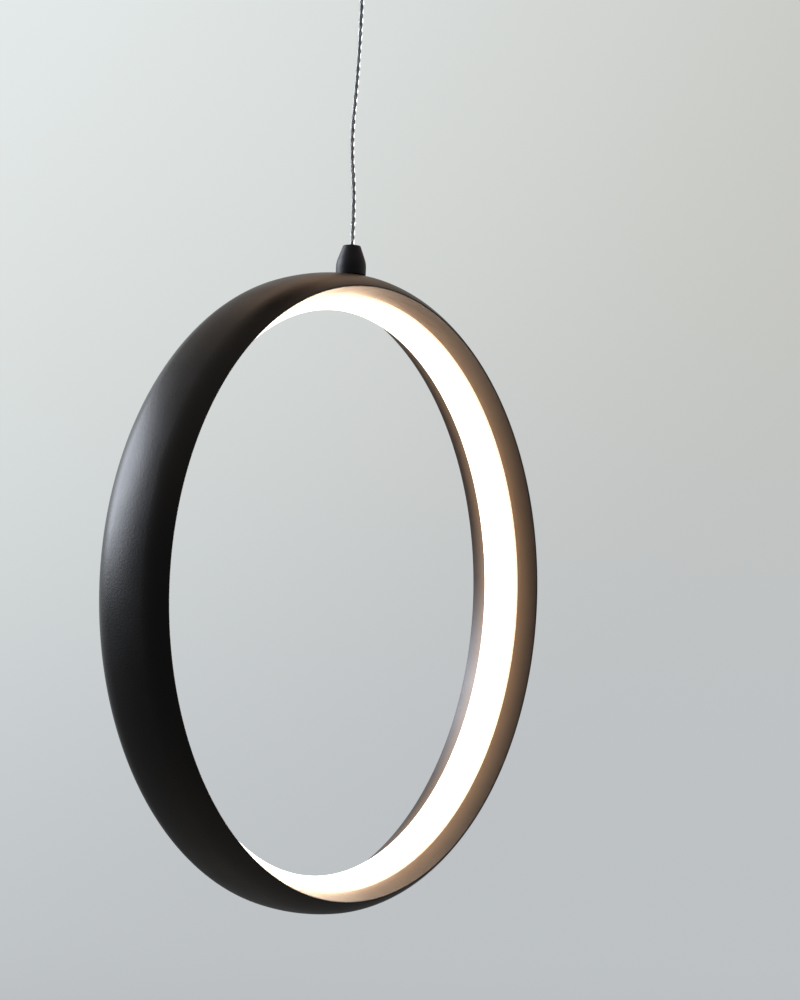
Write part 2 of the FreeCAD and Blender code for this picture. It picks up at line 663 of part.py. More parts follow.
def slotted_screw(shank_radius, length, head_radius, head_height):
    """Pan-head screw standing head up, its shank going down from height zero."""
    rounding = HEAD_ROUNDING_SHARE * head_height
    screw = turned([(0, -length), (shank_radius, -length), (shank_radius, 0), (head_radius, 0),
                    (head_radius, head_height, rounding), (0, head_height)])
    depth = SCREW_SLOT_SHARE * head_height
    notch = plate(2 * (head_radius + OVERRUN), SCREW_SLOT_WIDTH, depth + OVERRUN, 0, 0, head_height - depth)
    return screw.cut(notch)


def make_canopy_screws():
    screw = slotted_screw(CANOPY_SCREW_RADIUS, CANOPY_SCREW_LENGTH, CANOPY_SCREW_HEAD_RADIUS,
                          CANOPY_SCREW_HEAD_HEIGHT)
    right = moved(spun(screw, BACK, QUARTER_TURN), Vector(CANOPY_RADIUS, 0, -CANOPY_SCREW_DROP))
    return Part.makeCompound([right, spun(right, UP, HALF_TURN)])


def make_ground_screw():
    screw = slotted_screw(GROUND_SCREW_RADIUS, BAR_THICKNESS + LUG_THICKNESS, GROUND_SCREW_HEAD_RADIUS,
                          GROUND_SCREW_HEAD_HEIGHT)
    turned_over = spun(screw, RIGHT, HALF_TURN)
    return moved(turned_over, Vector(GROUND_SCREW_OFFSET, 0, -BAR_THICKNESS - LUG_THICKNESS))


# Driver

def driver_plate(inset, thickness, low, corner):
    """A slab with the driver's outline, drawn in on all sides."""
    length = DRIVER_LENGTH - 2 * inset
    width = DRIVER_WIDTH - 2 * inset
    return plate(length, width, thickness, 0, DRIVER_MIDDLE, low, corner)


def lid_screw_places():
    """The two bosses stand in opposite corners of the case."""
    inset = DRIVER_WALL + LID_BOSS_RADIUS
    x = DRIVER_LENGTH / 2 - inset
    y = DRIVER_WIDTH / 2 - inset
    return [(-x, DRIVER_MIDDLE - y), (x, DRIVER_MIDDLE + y)]


def lead_pair():
    """Where the two wires of a pair cross the driver's end wall, from front to back."""
    return [DRIVER_MIDDLE - LEAD_SPACING / 2, DRIVER_MIDDLE + LEAD_SPACING / 2]


def make_driver_base():
    inner_corner = DRIVER_CORNER - DRIVER_WALL
    height = DRIVER_HEIGHT - LID_THICKNESS
    case = driver_plate(0, height, DRIVER_BASE, DRIVER_CORNER)
    case = case.cut(driver_plate(DRIVER_WALL, height, DRIVER_BASE + DRIVER_WALL, inner_corner))
    for side in (-1, 1):
        ledge_middle = DRIVER_MIDDLE + side * (DRIVER_WIDTH / 2 - DRIVER_WALL - BOARD_LEDGE_WIDTH / 2)
        ledge = plate(DRIVER_LENGTH - 2 * DRIVER_WALL, BOARD_LEDGE_WIDTH, BOARD_LEDGE_HEIGHT, 0, ledge_middle,
                      DRIVER_BASE + DRIVER_WALL)
        case = case.fuse(ledge)
    for x, y in lid_screw_places():
        boss_height = height - DRIVER_WALL - LID_PLUG_DEPTH - SEAT_CLEARANCE
        case = case.fuse(cylinder(LID_BOSS_RADIUS, boss_height, Vector(x, y, DRIVER_BASE + DRIVER_WALL)))
        depth = LID_SCREW_LENGTH - LID_THICKNESS
        case = case.cut(cylinder(LID_SCREW_RADIUS + RUNNING_CLEARANCE, depth + OVERRUN,
                                 Vector(x, y, DRIVER_TOP - LID_THICKNESS - depth)))
    for y in lead_pair():
        case = case.cut(cylinder(LEAD_HOLE_RADIUS, DRIVER_LENGTH + 2 * OVERRUN,
                                 Vector(-DRIVER_LENGTH / 2 - OVERRUN, y, LEAD_HOLE_HEIGHT), RIGHT))
    return case.removeSplitter()


def make_driver_lid():
    inner_corner = DRIVER_CORNER - DRIVER_WALL
    low = DRIVER_TOP - LID_THICKNESS
    lid = driver_plate(0, LID_THICKNESS, low, DRIVER_CORNER)
    plug = driver_plate(DRIVER_WALL + SEAT_CLEARANCE, LID_PLUG_DEPTH, low - LID_PLUG_DEPTH, inner_corner)
    lid = lid.fuse(plug)
    for x, y in lid_screw_places():
        lid = lid.cut(cylinder(LID_SCREW_RADIUS + RUNNING_CLEARANCE, DRIVER_HEIGHT,
                               Vector(x, y, DRIVER_TOP - DRIVER_HEIGHT + OVERRUN)))
    return lid.removeSplitter()


def make_board():
    """Circuit board on the ledges, notched at two corners for the lid's bosses."""
    board = driver_plate(DRIVER_WALL + BOARD_GAP, BOARD_THICKNESS, BOARD_BASE, 0)
    notch_side = 2 * (LID_BOSS_RADIUS + BOARD_GAP)
    depth = BOARD_THICKNESS + 2 * OVERRUN
    for x, y in lid_screw_places():
        board = board.cut(plate(notch_side, notch_side, depth, x, y, BOARD_BASE - OVERRUN))
    return board


def make_transformer():
    """Ferrite core with an end block each side and a lower wound coil between them."""
    middle = TRANSFORMER_PLACE_SHARE * DRIVER_LENGTH
    end = CORE_END_SHARE * TRANSFORMER_LENGTH
    offset = (TRANSFORMER_LENGTH - end) / 2
    places = (middle - offset, middle + offset)
    ends = [plate(end, TRANSFORMER_WIDTH, TRANSFORMER_HEIGHT, x, DRIVER_MIDDLE, BOARD_TOP) for x in places]
    coil = plate(TRANSFORMER_LENGTH, CORE_WAIST_SHARE * TRANSFORMER_WIDTH,
                 CORE_WAIST_SHARE * TRANSFORMER_HEIGHT, middle, DRIVER_MIDDLE, BOARD_TOP)
    return coil.fuse(ends).removeSplitter()


def make_capacitors():
    """Three cans, placed as shares of the room between the lid's bosses and between the side walls."""
    can = turned([(0, 0), (CAPACITOR_RADIUS, 0, CAPACITOR_ROUNDING),
                  (CAPACITOR_RADIUS, CAPACITOR_HEIGHT, CAPACITOR_ROUNDING), (0, CAPACITOR_HEIGHT)])
    edge = DRIVER_WALL + BOARD_GAP + CAPACITOR_RADIUS
    room_x = DRIVER_LENGTH / 2 - edge - 2 * LID_BOSS_RADIUS
    room_y = DRIVER_WIDTH / 2 - edge
    places = [Vector(x_share * room_x, DRIVER_MIDDLE + y_share * room_y, BOARD_TOP)
              for x_share, y_share in CAPACITOR_PLACE_SHARES]
    return Part.makeCompound([moved(can, place) for place in places])


def make_driver_screws():
    screw = slotted_screw(LID_SCREW_RADIUS, LID_SCREW_LENGTH, LID_SCREW_HEAD_RADIUS,
                          LID_SCREW_HEAD_HEIGHT)
    return Part.makeCompound([moved(screw, Vector(x, y, DRIVER_TOP)) for x, y in lid_screw_places()])


# Terminal block and wires

def terminal_middle():
    return TERMINAL_INNER_FACE - TERMINAL_LENGTH / 2


def pole_places():
    return [(i - (TERMINAL_POLES - 1) / 2) * TERMINAL_PITCH for i in range(TERMINAL_POLES)]


def clamp_places():
    reach = TOWER_PLACE_SHARE * TERMINAL_LENGTH
    return [(terminal_middle() + side * reach, y) for side in (-1, 1) for y in pole_places()]


def make_terminal_block():
    """Moulded block under the bar: a bore through each pole and a screw tower at each end of it."""
    block = plate(TERMINAL_LENGTH, TERMINAL_WIDTH, TERMINAL_HEIGHT, terminal_middle(), 0, TERMINAL_BOTTOM,
                  TERMINAL_ROUNDING)
    for x, y in clamp_places():
        tower_high = Vector(x, y, TERMINAL_BOTTOM + OVERRUN)
        block = block.fuse(cylinder(TOWER_RADIUS, TOWER_HEIGHT + OVERRUN, tower_high, -UP))
    for x, y in clamp_places():
        foot = Vector(x, y, TERMINAL_BOTTOM - TOWER_HEIGHT - OVERRUN)
        depth = TERMINAL_BORE_HEIGHT - foot.z
        block = block.cut(cylinder(CLAMP_SCREW_RADIUS + RUNNING_CLEARANCE, depth, foot))
    for y in pole_places():
        block = block.cut(cylinder(TERMINAL_BORE_RADIUS, TERMINAL_LENGTH + 2 * OVERRUN,
                                   Vector(TERMINAL_OUTER_FACE - OVERRUN, y, TERMINAL_BORE_HEIGHT), RIGHT))
    fixing_hole = cylinder(FIXING_SCREW_RADIUS + RUNNING_CLEARANCE, TERMINAL_HEIGHT + 2 * OVERRUN,
                           Vector(terminal_middle(), TERMINAL_PITCH / 2, TERMINAL_BOTTOM - OVERRUN))
    return block.cut(fixing_hole).removeSplitter()


def make_terminal_screws():
    """Headless clamp screws, just inside their towers, with a driver slot."""
    screws = []
    slot_length = 2 * CLAMP_SCREW_RADIUS + OVERRUN
    slot_depth = SCREW_SLOT_SHARE * CLAMP_SCREW_RADIUS
    for x, y in clamp_places():
        low = TERMINAL_BOTTOM - TOWER_HEIGHT + RUNNING_CLEARANCE
        screw = cylinder(CLAMP_SCREW_RADIUS, CLAMP_SCREW_LENGTH, Vector(x, y, low))
        notch = plate(slot_length, SCREW_SLOT_WIDTH, slot_depth + OVERRUN, x, y, low - OVERRUN)
        screws.append(screw.cut(notch))
    return Part.makeCompound(screws)


def make_terminal_fixing_screw():
    screw = slotted_screw(FIXING_SCREW_RADIUS, TERMINAL_HEIGHT + BAR_THICKNESS, FIXING_HEAD_RADIUS,
                          FIXING_HEAD_HEIGHT)
    head_seat = Vector(terminal_middle(), TERMINAL_PITCH / 2, TERMINAL_BOTTOM)
    return moved(spun(screw, RIGHT, HALF_TURN), head_seat)


def driver_approach(side, lane, end_y, height):
    """Last points of a wire that comes round a driver's end (side -1 left, 1 right) and goes in at end_y."""
    end = side * DRIVER_LENGTH / 2
    bend = side * LEAD_BEND
    outer = end + bend + side * lane
    return [
        Vector(outer, DRIVER_TO_AXIS + LEAD_BEND / 2, (height + LEAD_HOLE_HEIGHT) / 2),
        Vector(outer, end_y - LEAD_BEND / 2, LEAD_HOLE_HEIGHT),
        Vector(end + bend / 2, end_y, LEAD_HOLE_HEIGHT),
        Vector(end - side * DRIVER_WALL, end_y, LEAD_HOLE_HEIGHT),
    ]


def make_output_leads():
    """Pair from the top of the cable stop, under the terminal block, round to the driver's left end."""
    low = UPPER_STOP_BASE + STOP_LENGTH
    end = -DRIVER_LENGTH / 2
    leads = []
    for side, end_y in zip((1, -1), lead_pair()):
        lane = -side * LEAD_SPACING / 2
        start = Vector(0, side * LEAD_PAIR_OFFSET, low)
        knee = start + UP * LEAD_RISE
        top = knee + (UP - RIGHT) * LEAD_RISE
        route = [start, knee, top,
                 Vector(end / 2, DRIVER_TO_AXIS / 3 - lane, top.z),
                 Vector(end, DRIVER_TO_AXIS / 2 - lane, top.z)]
        leads.append(tube_along(route + driver_approach(-1, lane, end_y, top.z), LEAD_RADIUS))
    return Part.makeCompound(leads)


def make_input_leads():
    """Pair from two poles of the terminal block, under the ground screw, round to the driver's right end."""
    end = DRIVER_LENGTH / 2
    below_screw = -BAR_THICKNESS - LUG_THICKNESS - GROUND_SCREW_HEAD_HEIGHT - 2 * LEAD_RADIUS
    leads = []
    for side, start_y, end_y in zip((1, -1), reversed(pole_places()[1:]), lead_pair()):
        lane = -side * LEAD_SPACING / 2
        route = [
            Vector(TERMINAL_INNER_FACE - LEAD_RADIUS, start_y, TERMINAL_BORE_HEIGHT),
            Vector(0, start_y, TERMINAL_BORE_HEIGHT),
            Vector(end / 2, (start_y + DRIVER_TO_AXIS / 2) / 2, below_screw - LEAD_RADIUS),
            Vector(end, DRIVER_TO_AXIS / 2 - lane, below_screw - LEAD_RADIUS),
        ]
        leads.append(tube_along(route + driver_approach(1, lane, end_y, below_screw), LEAD_RADIUS))
    return Part.makeCompound(leads)


def make_ground_lead():
    """Wire from the last pole to the crimped barrel of a ring lug, which the ground screw's head clamps."""
    top = -BAR_THICKNESS
    screw_axis = Vector(GROUND_SCREW_OFFSET, 0, top)
    foot = screw_axis - UP * LUG_THICKNESS
    barrel_middle = top - RUNNING_CLEARANCE - BARREL_RADIUS
    barrel_start = GROUND_SCREW_HEAD_RADIUS + SEAT_CLEARANCE
    barrel_end = barrel_start + BARREL_LENGTH
    tongue_start = (GROUND_SCREW_RADIUS + GROUND_SCREW_HEAD_RADIUS) / 2
    tongue_length = barrel_start + LUG_TONGUE_REACH - tongue_start
    tongue = plate(tongue_length, LUG_TONGUE_WIDTH, LUG_THICKNESS,
                   GROUND_SCREW_OFFSET - tongue_start - tongue_length / 2, 0, foot.z)
    barrel = cylinder(BARREL_RADIUS, BARREL_LENGTH,
                      Vector(GROUND_SCREW_OFFSET - barrel_start, 0, barrel_middle), -RIGHT)
    hole = cylinder(GROUND_SCREW_RADIUS + RUNNING_CLEARANCE, LUG_THICKNESS + 2 * OVERRUN, foot - UP * OVERRUN)
    lug = cylinder(GROUND_SCREW_HEAD_RADIUS, LUG_THICKNESS, foot).fuse([tongue, barrel]).cut(hole)
    lug = spun(lug.removeSplitter(), UP, LUG_HEADING, screw_axis)

    heading = math.radians(LUG_HEADING)
    arrival = Vector(math.cos(heading), math.sin(heading), 0)
    wire_end = Vector(GROUND_SCREW_OFFSET, 0, barrel_middle) - arrival * barrel_end
    pole = pole_places()[0]
    wire = tube_along([
        Vector(TERMINAL_INNER_FACE - LEAD_RADIUS, pole, TERMINAL_BORE_HEIGHT),
        Vector(0, pole, TERMINAL_BORE_HEIGHT),
        wire_end - arrival * LEAD_BEND / 2,
        wire_end,
    ], LEAD_RADIUS)
    return Part.makeCompound([lug, wire])


NODES = {
    "mounting_bar": make_bar,
    "canopy_cup": make_canopy,
    "canopy_screws": make_canopy_screws,
    "ground_screw": make_ground_screw,
    "driver_pad": lambda: driver_plate(DRIVER_PAD_INSET, DRIVER_PAD_THICKNESS, CANOPY_FLOOR, 0),
    "driver_case_base": make_driver_base,
    "driver_case_lid": make_driver_lid,
    "driver_board": make_board,
    "driver_transformer": make_transformer,
    "driver_capacitors": make_capacitors,
    "driver_screws": make_driver_screws,
    "terminal_block": make_terminal_block,
    "terminal_clamp_screws": make_terminal_screws,
    "terminal_fixing_screw": make_terminal_fixing_screw,
    "input_leads": make_input_leads,
    "output_leads": make_output_leads,
    "ground_lead": make_ground_lead,
    "upper_grip": lambda: under_canopy(make_grip(), UPPER_SCREW_HEADING),
    "upper_grip_screw": lambda: under_canopy(make_grip_screw(), UPPER_SCREW_HEADING),
    "upper_nipple": lambda: under_canopy(make_nipple(CANOPY_WALL)),
    "upper_washer": lambda: under_canopy(make_washer(CANOPY_WALL)),
    "upper_lock_nut": lambda: under_canopy(make_nut(CANOPY_WALL)),
    "upper_cable_stop": lambda: under_canopy(make_stop(CANOPY_WALL, 0)),
    "cable_upper_tail": lambda: under_canopy(make_tail(CANOPY_WALL, 0)),
    "cable": lambda: tube_along(cable_points(), CABLE_RADIUS),
    "lower_grip": lambda: on_ring(make_grip(), LOWER_SCREW_HEADING),
    "lower_grip_screw": lambda: on_ring(make_grip_screw(), LOWER_SCREW_HEADING),
    "cable_lower_tail": lambda: on_ring(make_tail(LOWER_WALL, SEAT_CLEARANCE)),
    "lower_cable_stop": lambda: on_ring(make_stop(LOWER_WALL, SEAT_CLEARANCE)),
    "lower_nipple": lambda: on_ring(make_nipple(LOWER_WALL)),
    "lower_washer": lambda: on_ring(make_washer(LOWER_WALL)),
    "lower_lock_nut": lambda: on_ring(make_nut(LOWER_WALL)),
    "ring_housing": lambda: in_ring(make_housing()),
    "diffuser": lambda: in_ring(make_diffuser()),
    "led_strip": lambda: in_ring(make_strip()),
    "led_chips": lambda: in_ring(make_chips()),
    "strip_resistors": lambda: in_ring(make_resistors()),
    "ring_leads": lambda: in_ring(make_ring_leads()),
}


def main():
    os.makedirs("parts", exist_ok=True)
    for name, make in NODES.items():
        shape = make()
        shape.exportStep("parts/%s.step" % name)
        box = shape.BoundBox
        print("%-24s solids %3d valid %s volume %10.1f  z %.1f to %.1f"
              % (name, len(shape.Solids), shape.isValid(), shape.Volume, box.ZMin, box.ZMax))
    print("ring centre %.3f, upper pivot %.3f, lower pivot %.3f" % (RING_CENTRE, UPPER_PIVOT, LOWER_PIVOT))


main()
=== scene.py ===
"""An LED ring pendant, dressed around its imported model.

Metres, +Z up. The origin is on the ceiling plane and the lamp hangs below it. The ring's own axis lies along
Y. Each piece is computed with numpy from named sizes, and its place is in its mesh.
"""
import functools
import json
import math

import bpy
import numpy as np
from bpy.props import FloatProperty, FloatVectorProperty, IntProperty, PointerProperty
from mathutils import Matrix, Vector


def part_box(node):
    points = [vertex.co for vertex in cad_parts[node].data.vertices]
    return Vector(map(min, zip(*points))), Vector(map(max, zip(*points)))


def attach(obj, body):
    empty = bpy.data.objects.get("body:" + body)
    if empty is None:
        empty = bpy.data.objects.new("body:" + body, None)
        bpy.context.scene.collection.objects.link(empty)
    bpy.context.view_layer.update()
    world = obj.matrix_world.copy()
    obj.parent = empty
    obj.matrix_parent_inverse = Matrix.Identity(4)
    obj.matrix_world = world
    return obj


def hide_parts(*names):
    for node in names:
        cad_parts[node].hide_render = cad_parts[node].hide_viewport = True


bl_info = {
    "name": "LED Ring Pendant",
    "version": (1, 0, 0),
    "blender": (4, 5, 0),
    "location": "View3D > Sidebar > Ring Pendant",
    "description": "Dresses a hanging LED ring with its band, opal strip, cable, canopy and finishes",
    "category": "Add Mesh",
}

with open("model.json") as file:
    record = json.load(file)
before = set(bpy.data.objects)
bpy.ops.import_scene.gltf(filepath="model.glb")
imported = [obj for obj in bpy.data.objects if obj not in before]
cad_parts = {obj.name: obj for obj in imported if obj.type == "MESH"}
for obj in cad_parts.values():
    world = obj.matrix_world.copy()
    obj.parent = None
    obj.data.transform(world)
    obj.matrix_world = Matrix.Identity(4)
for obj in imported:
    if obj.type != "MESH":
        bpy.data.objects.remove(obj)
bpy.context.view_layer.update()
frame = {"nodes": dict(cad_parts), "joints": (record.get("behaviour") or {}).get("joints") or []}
BAND_LOW, BAND_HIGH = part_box("ring_housing")
LOWER_GRIP_LOW, LOWER_GRIP_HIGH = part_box("lower_grip")
UPPER_GRIP_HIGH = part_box("upper_grip")[1]
CANOPY_LOW, CANOPY_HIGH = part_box("canopy_cup")
JOINT_PLACES = {joint["name"]: Vector(joint["pos_m"]) for joint in frame["joints"]}
RING_RADIUS = (BAND_HIGH.x - BAND_LOW.x) / 2
RING_CENTRE = Vector((0, 0, BAND_LOW.z + RING_RADIUS))

FULL_TURN = 2 * math.pi
MM = 0.001
SMOOTH_BELOW = math.radians(28)

# What the opal strip throws on the pieces round it, where 1 is the white that the camera shows it in
LIGHT_GAIN = 9.0
LIGHT_TINT = (1.0, 0.73, 0.52)

# The cable's route: the share of the way down from the upper pivot, and how far it bows along its heading
CABLE_ROUTE = [(0.0, 0.0), (0.19, 0.0001), (0.41, -0.0008), (0.62, -0.0024), (0.82, 0.0005), (1.0, 0.0)]
CABLE_BOW_HEADING = math.radians(-54.3)


# Sizes and colours that a user would change

def metres(name, description, default):
    """A length that a user may change."""
    return FloatProperty(name=name, description=description, default=default, unit="LENGTH")


def share(name, description, default):
    """A share of something, from 0 to 1."""
    return FloatProperty(name=name, description=description, default=default, subtype="FACTOR")


def rgb(name, description, *default):
    """A colour, given as its red, green and blue."""
    return FloatVectorProperty(name=name, description=description, default=default, subtype="COLOR", size=3)


class RingSizes(bpy.types.PropertyGroup):
    """Section of the band and of the opal strip in it."""
    radius: metres("Radius", "Ring's centre to the crest of its dome", RING_RADIUS)
    ridge_half: metres("Ridge half width", "Middle of the band to its ridge", 20.05 * MM)
    dome_rise: metres("Dome rise", "Height of the dome over its ridges", 7.2 * MM)
    crest_arc: metres("Crest arc", "Radius of the flat arc across the crest", 55 * MM)
    crest_share: share("Crest share", "Share of the half width that the flat arc takes", 0.45)
    lip_depth: metres("Lip depth", "Ridge to channel mouth, towards the centre", 3.45 * MM)
    ridge_rounding: metres("Ridge rounding", "Radius of the rounded ridge", 0.5 * MM)
    crest_wall: metres("Crest wall", "Metal between crest and channel floor", 3.5 * MM)
    channel_half: metres("Channel half width", "Middle of the band to the channel's wall", 9.95 * MM)
    groove_depth: metres("Groove depth", "Depth of the snap groove in each wall", 0.9 * MM)
    groove_height: metres("Groove height", "Height of the snap groove", 1.8 * MM)
    groove_setback: metres("Groove setback", "Channel mouth to the snap groove", 2 * MM)
    crown: metres("Opal crown", "How far the opal strip stands out of the channel", 6.8 * MM)
    opal_wall: metres("Opal wall", "Wall of the opal strip", 1.6 * MM)
    opal_leg: metres("Opal leg", "Wall of the opal strip's legs", 1.3 * MM)
    opal_gap: metres("Opal gap", "Room between the opal strip and its channel", 0.1 * MM)
    steps: IntProperty(name="Steps", description="Facets round the ring", default=640, min=24)


class FittingSizes(bpy.types.PropertyGroup):
    """Grips, threaded nipples and canopy."""
    grip_tip: metres("Grip tip", "Radius of the grip's mouth end", 4.1 * MM)
    grip_shoulder_share: share("Grip shoulder", "Share of the height at the shoulder", 0.405)
    grip_side_rounding: metres("Grip side rounding", "Radius of the bulged side", 12 * MM)
    grip_tip_rounding: metres("Grip tip rounding", "Radius of the tip's edge", 0.5 * MM)
    grip_base_rounding: metres("Grip base rounding", "Radius of the base's edge", 0.3 * MM)
    mouth_radius: metres("Mouth radius", "Radius of the flared mouth at the tip", 2.2 * MM)
    mouth_throat: metres("Mouth throat", "Radius of the mouth at the pivot", 1.22 * MM)
    mouth_floor: metres("Mouth floor", "Pivot to the floor of the mouth", 0.48 * MM)
    grip_screw_share: share("Grip screw height", "Share of the height at the side screw", 0.6)
    grip_screw_hole: metres("Grip screw hole", "Radius of the side screw's hole", 1.55 * MM)
    thread_radius: metres("Thread radius", "Outer radius of the nipples", 4 * MM)
    thread_pitch: metres("Thread pitch", "Rise of the thread in a turn", 1 * MM)
    thread_depth: metres("Thread depth", "Depth of the thread", 0.45 * MM)
    nipple_bore: metres("Nipple bore", "Radius of the hole through a nipple", 2.5 * MM)
    thread_length: metres("Thread engagement", "Thread inside the grip", 6 * MM)
    play: metres("Play", "Running clearance round a shaft", 0.05 * MM)
    canopy_wall: metres("Canopy wall", "Sheet of the canopy", 1.2 * MM)
    canopy_rounding: metres("Canopy rounding", "Radius of the canopy's lower edge", 5 * MM)
    canopy_rim: metres("Canopy rim", "Rounding of the rim at the ceiling", 0.4 * MM)
    canopy_screw_drop: metres("Canopy screw drop", "Ceiling to the side screws", 8 * MM)
    canopy_screw_hole: metres("Canopy screw hole", "Radius of the side screws' holes", 2.1 * MM)


class CableSizes(bpy.types.PropertyGroup):
    """The suspension cable: a clear jacket over two twisted cores of bare wires."""
    diameter: metres("Diameter", "Outside of the clear jacket", 1.9 * MM)
    length: metres("Length", "Free cable between the two grips", 134.1 * MM)
    core_lay: metres("Core lay", "Length in which the two cores turn once", 8.5 * MM)
    core_offset: metres("Core offset", "Cable's middle to a core's middle", 0.36 * MM)
    wire_lay: metres("Wire lay", "Length in which a core's wires turn once", 3.4 * MM)
    wire_offset: metres("Wire offset", "Core's middle to a wire's middle", 0.23 * MM)
    wire_radius: metres("Wire radius", "Radius of one bare wire", 0.115 * MM)
    wires: IntProperty(name="Wires", description="Wires round each core", default=6, min=3)


class FinishColours(bpy.types.PropertyGroup):
    """Colours of the finishes, as the surface's own colour. The two lip colours are painted light from the
    opal strip.
    """
    coat: rgb("Satin coat", "Powder coat on the ring and canopy", 0.0028, 0.0027, 0.0030)
    coat_fleck: rgb("Coat fleck", "Fine bronze fleck in the coat", 0.020, 0.016, 0.013)
    # Painted light: the opal strip's glow on the lips beside it, given as a colour
    lip: rgb("Lip coat", "Thin coat on the lips beside the opal strip", 0.125, 0.088, 0.058)
    # Painted light fading off towards the ridge, where the opal strip lights the lips less
    lip_edge_painted_glow: rgb("Lip edge", "Coat on the lips beside the ridge", 0.020, 0.015, 0.013)
    moulding: rgb("Black moulding", "Cable grips", 0.013, 0.0125, 0.017)
    opal: rgb("Opal", "Opal strip, unlit", 0.90, 0.88, 0.83)
    light: rgb("Light", "Colour of the light through the opal strip", 1.0, 0.97, 0.90)
    light_strength: FloatProperty(name="Light strength", description="Glow of the lit opal strip",
                                  default=1.3, min=0)
    wire: rgb("Bare wire", "Tinned wires in the cable", 0.50, 0.50, 0.49)
    zinc: rgb("Zinc plate", "Bar, washers and driver screws", 0.60, 0.61, 0.63)
    nickel: rgb("Nickel plate", "Nipples, lock nuts and cable stops", 0.66, 0.62, 0.54)


class StudioValues(bpy.types.PropertyGroup):
    """Floor, surroundings and camera."""
    floor_drop: metres("Floor drop", "Ring's lowest point to the floor", 1.90)
    floor_clear: metres("Floor clear", "Radius within which the floor is solid", 0.50)
    floor_fade: metres("Floor fade", "Radius past which the floor has faded out", 2.40)
    bright_wall: rgb("Bright wall", "Surroundings where the window lights them", 0.91, 0.98, 1.0)
    upper_wall: rgb("Upper wall", "Surroundings away from the window, high up", 0.560, 0.565, 0.530)
    lower_wall: rgb("Lower wall", "Surroundings away from the window, low down", 0.512, 0.537, 0.557)
    viewer_wall: rgb("Viewer's wall", "Surroundings behind the viewer", 0.17, 0.175, 0.18)
    overhead: rgb("Overhead", "Surroundings over the lamp", 0.40, 0.35, 0.30)
    underneath: rgb("Underneath", "Surroundings under the lamp", 0.17, 0.17, 0.17)
    lens: FloatProperty(name="Lens", description="Focal length on a 36 mm long side", default=89.41,
                        unit="CAMERA")
    roll: FloatProperty(name="Roll", description="Camera turned about its own line of sight",
                        default=math.radians(2.244), subtype="ANGLE")


SETTINGS = {
    "pendant_ring": RingSizes,
    "pendant_fittings": FittingSizes,
    "pendant_cable": CableSizes,
    "pendant_colours": FinishColours,
    "pendant_studio": StudioValues,
}


# Outlines

def arc(centre, radius, start, end, count):
    """Points centre + radius * (cos a, sin a), with a going evenly from start to end."""
    angle = np.linspace(start, end, count)
    return np.stack([centre[0] + radius * np.cos(angle), centre[1] + radius * np.sin(angle)], -1)


def arc_through(first, middle, last, count):
    """Points evenly along the circle arc from first over middle to last.

    The centre is where the perpendicular bisectors of the two chords cross.
    """
    first, middle, last = (np.array(point, float) for point in (first, middle, last))
    chords = np.array([middle - first, last - middle])
    halves = np.array([(middle + first) / 2, (last + middle) / 2])
    centre = np.linalg.solve(chords, (chords * halves).sum(1))
    spokes = np.array([first, middle, last]) - centre
    angles = np.unwrap(np.arctan2(spokes[:, 1], spokes[:, 0]))
    return arc(centre, np.linalg.norm(spokes[0]), angles[0], angles[2], count)


def rounded(before, corner, after, rounding, count=7):
    """Points of the arc that touches both sides of a corner: its centre lies on the corner's bisector."""
    before, corner, after = (np.array(point, float) for point in (before, corner, after))
    into = (corner - before) / np.linalg.norm(corner - before)
    onward = (after - corner) / np.linalg.norm(after - corner)
    half = math.acos(max(-1.0, min(1.0, float(into @ onward)))) / 2
    reach = rounding * math.tan(half)
    inward = (onward - into) / np.linalg.norm(onward - into)
    middle = corner + inward * (rounding / math.cos(half) - rounding)
    return arc_through(corner - into * reach, middle, corner + onward * reach, count)


def closed_outline(corners):
    """A closed outline of corners (across, up, rounding), each rounding an arc that touches both sides."""
    points = [np.array(corner[:2], float) for corner in corners]
    parts = []
    for i, (point, corner) in enumerate(zip(points, corners)):
        after = points[(i + 1) % len(points)]
        parts.append(rounded(points[i - 1], point, after, corner[2]) if corner[2] else point[None])
    return np.concatenate(parts)


def mirrored(points):
    """The same points with the first coordinate turned round, in reverse order."""
    return (points * np.array([-1, 1]))[::-1]


# Meshes

def new_object(name, data):
    """An object in the scene that holds the data."""
    made = bpy.data.objects.new(name, data)
    bpy.context.scene.collection.objects.link(made)
    return made


def around(steps):
    """Angles spaced evenly over a full turn, as a column."""
    return np.linspace(0, FULL_TURN, steps, endpoint=False)[:, None]


def grid_faces(rows, columns, wraps):
    """Quads of a grid of points whose columns close on themselves. The rows do too where wraps is true."""
    row = np.arange(rows if wraps else rows - 1)[:, None]
    column = np.arange(columns)[None, :]
    next_row = (row + 1) % rows
    next_column = (column + 1) % columns
    corners = [row * columns + column, row * columns + next_column, next_row * columns + next_column,
               next_row * columns + column]
    return np.stack(corners, -1).reshape(-1, 4)


def new_piece(name, vertices, faces, caps=()):
    """A mesh object from arrays. Where the enclosed volume, the sum of corner triple products over six, comes
    out negative, the faces are turned round, so that they point outwards."""
    triangles = np.concatenate([faces[:, [0, 1, 2]], faces[:, [0, 2, 3]]])
    a, b, c = (vertices[triangles[:, i]] for i in range(3))
    order = -1 if np.einsum("ij,ij->i", a, np.cross(b, c)).sum() < 0 else 1
    mesh = bpy.data.meshes.new(name)
    mesh.from_pydata(vertices.tolist(), [], faces[:, ::order].tolist() + [list(cap)[::order] for cap in caps])
    smooth(mesh)
    return new_object(name, mesh)


def smooth(mesh):
    """Smooth shading, with an edge kept sharp where its two faces turn by more than SMOOTH_BELOW."""
    mesh.shade_smooth()
    mesh.set_sharp_from_angle(angle=SMOOTH_BELOW)
    mesh.update()


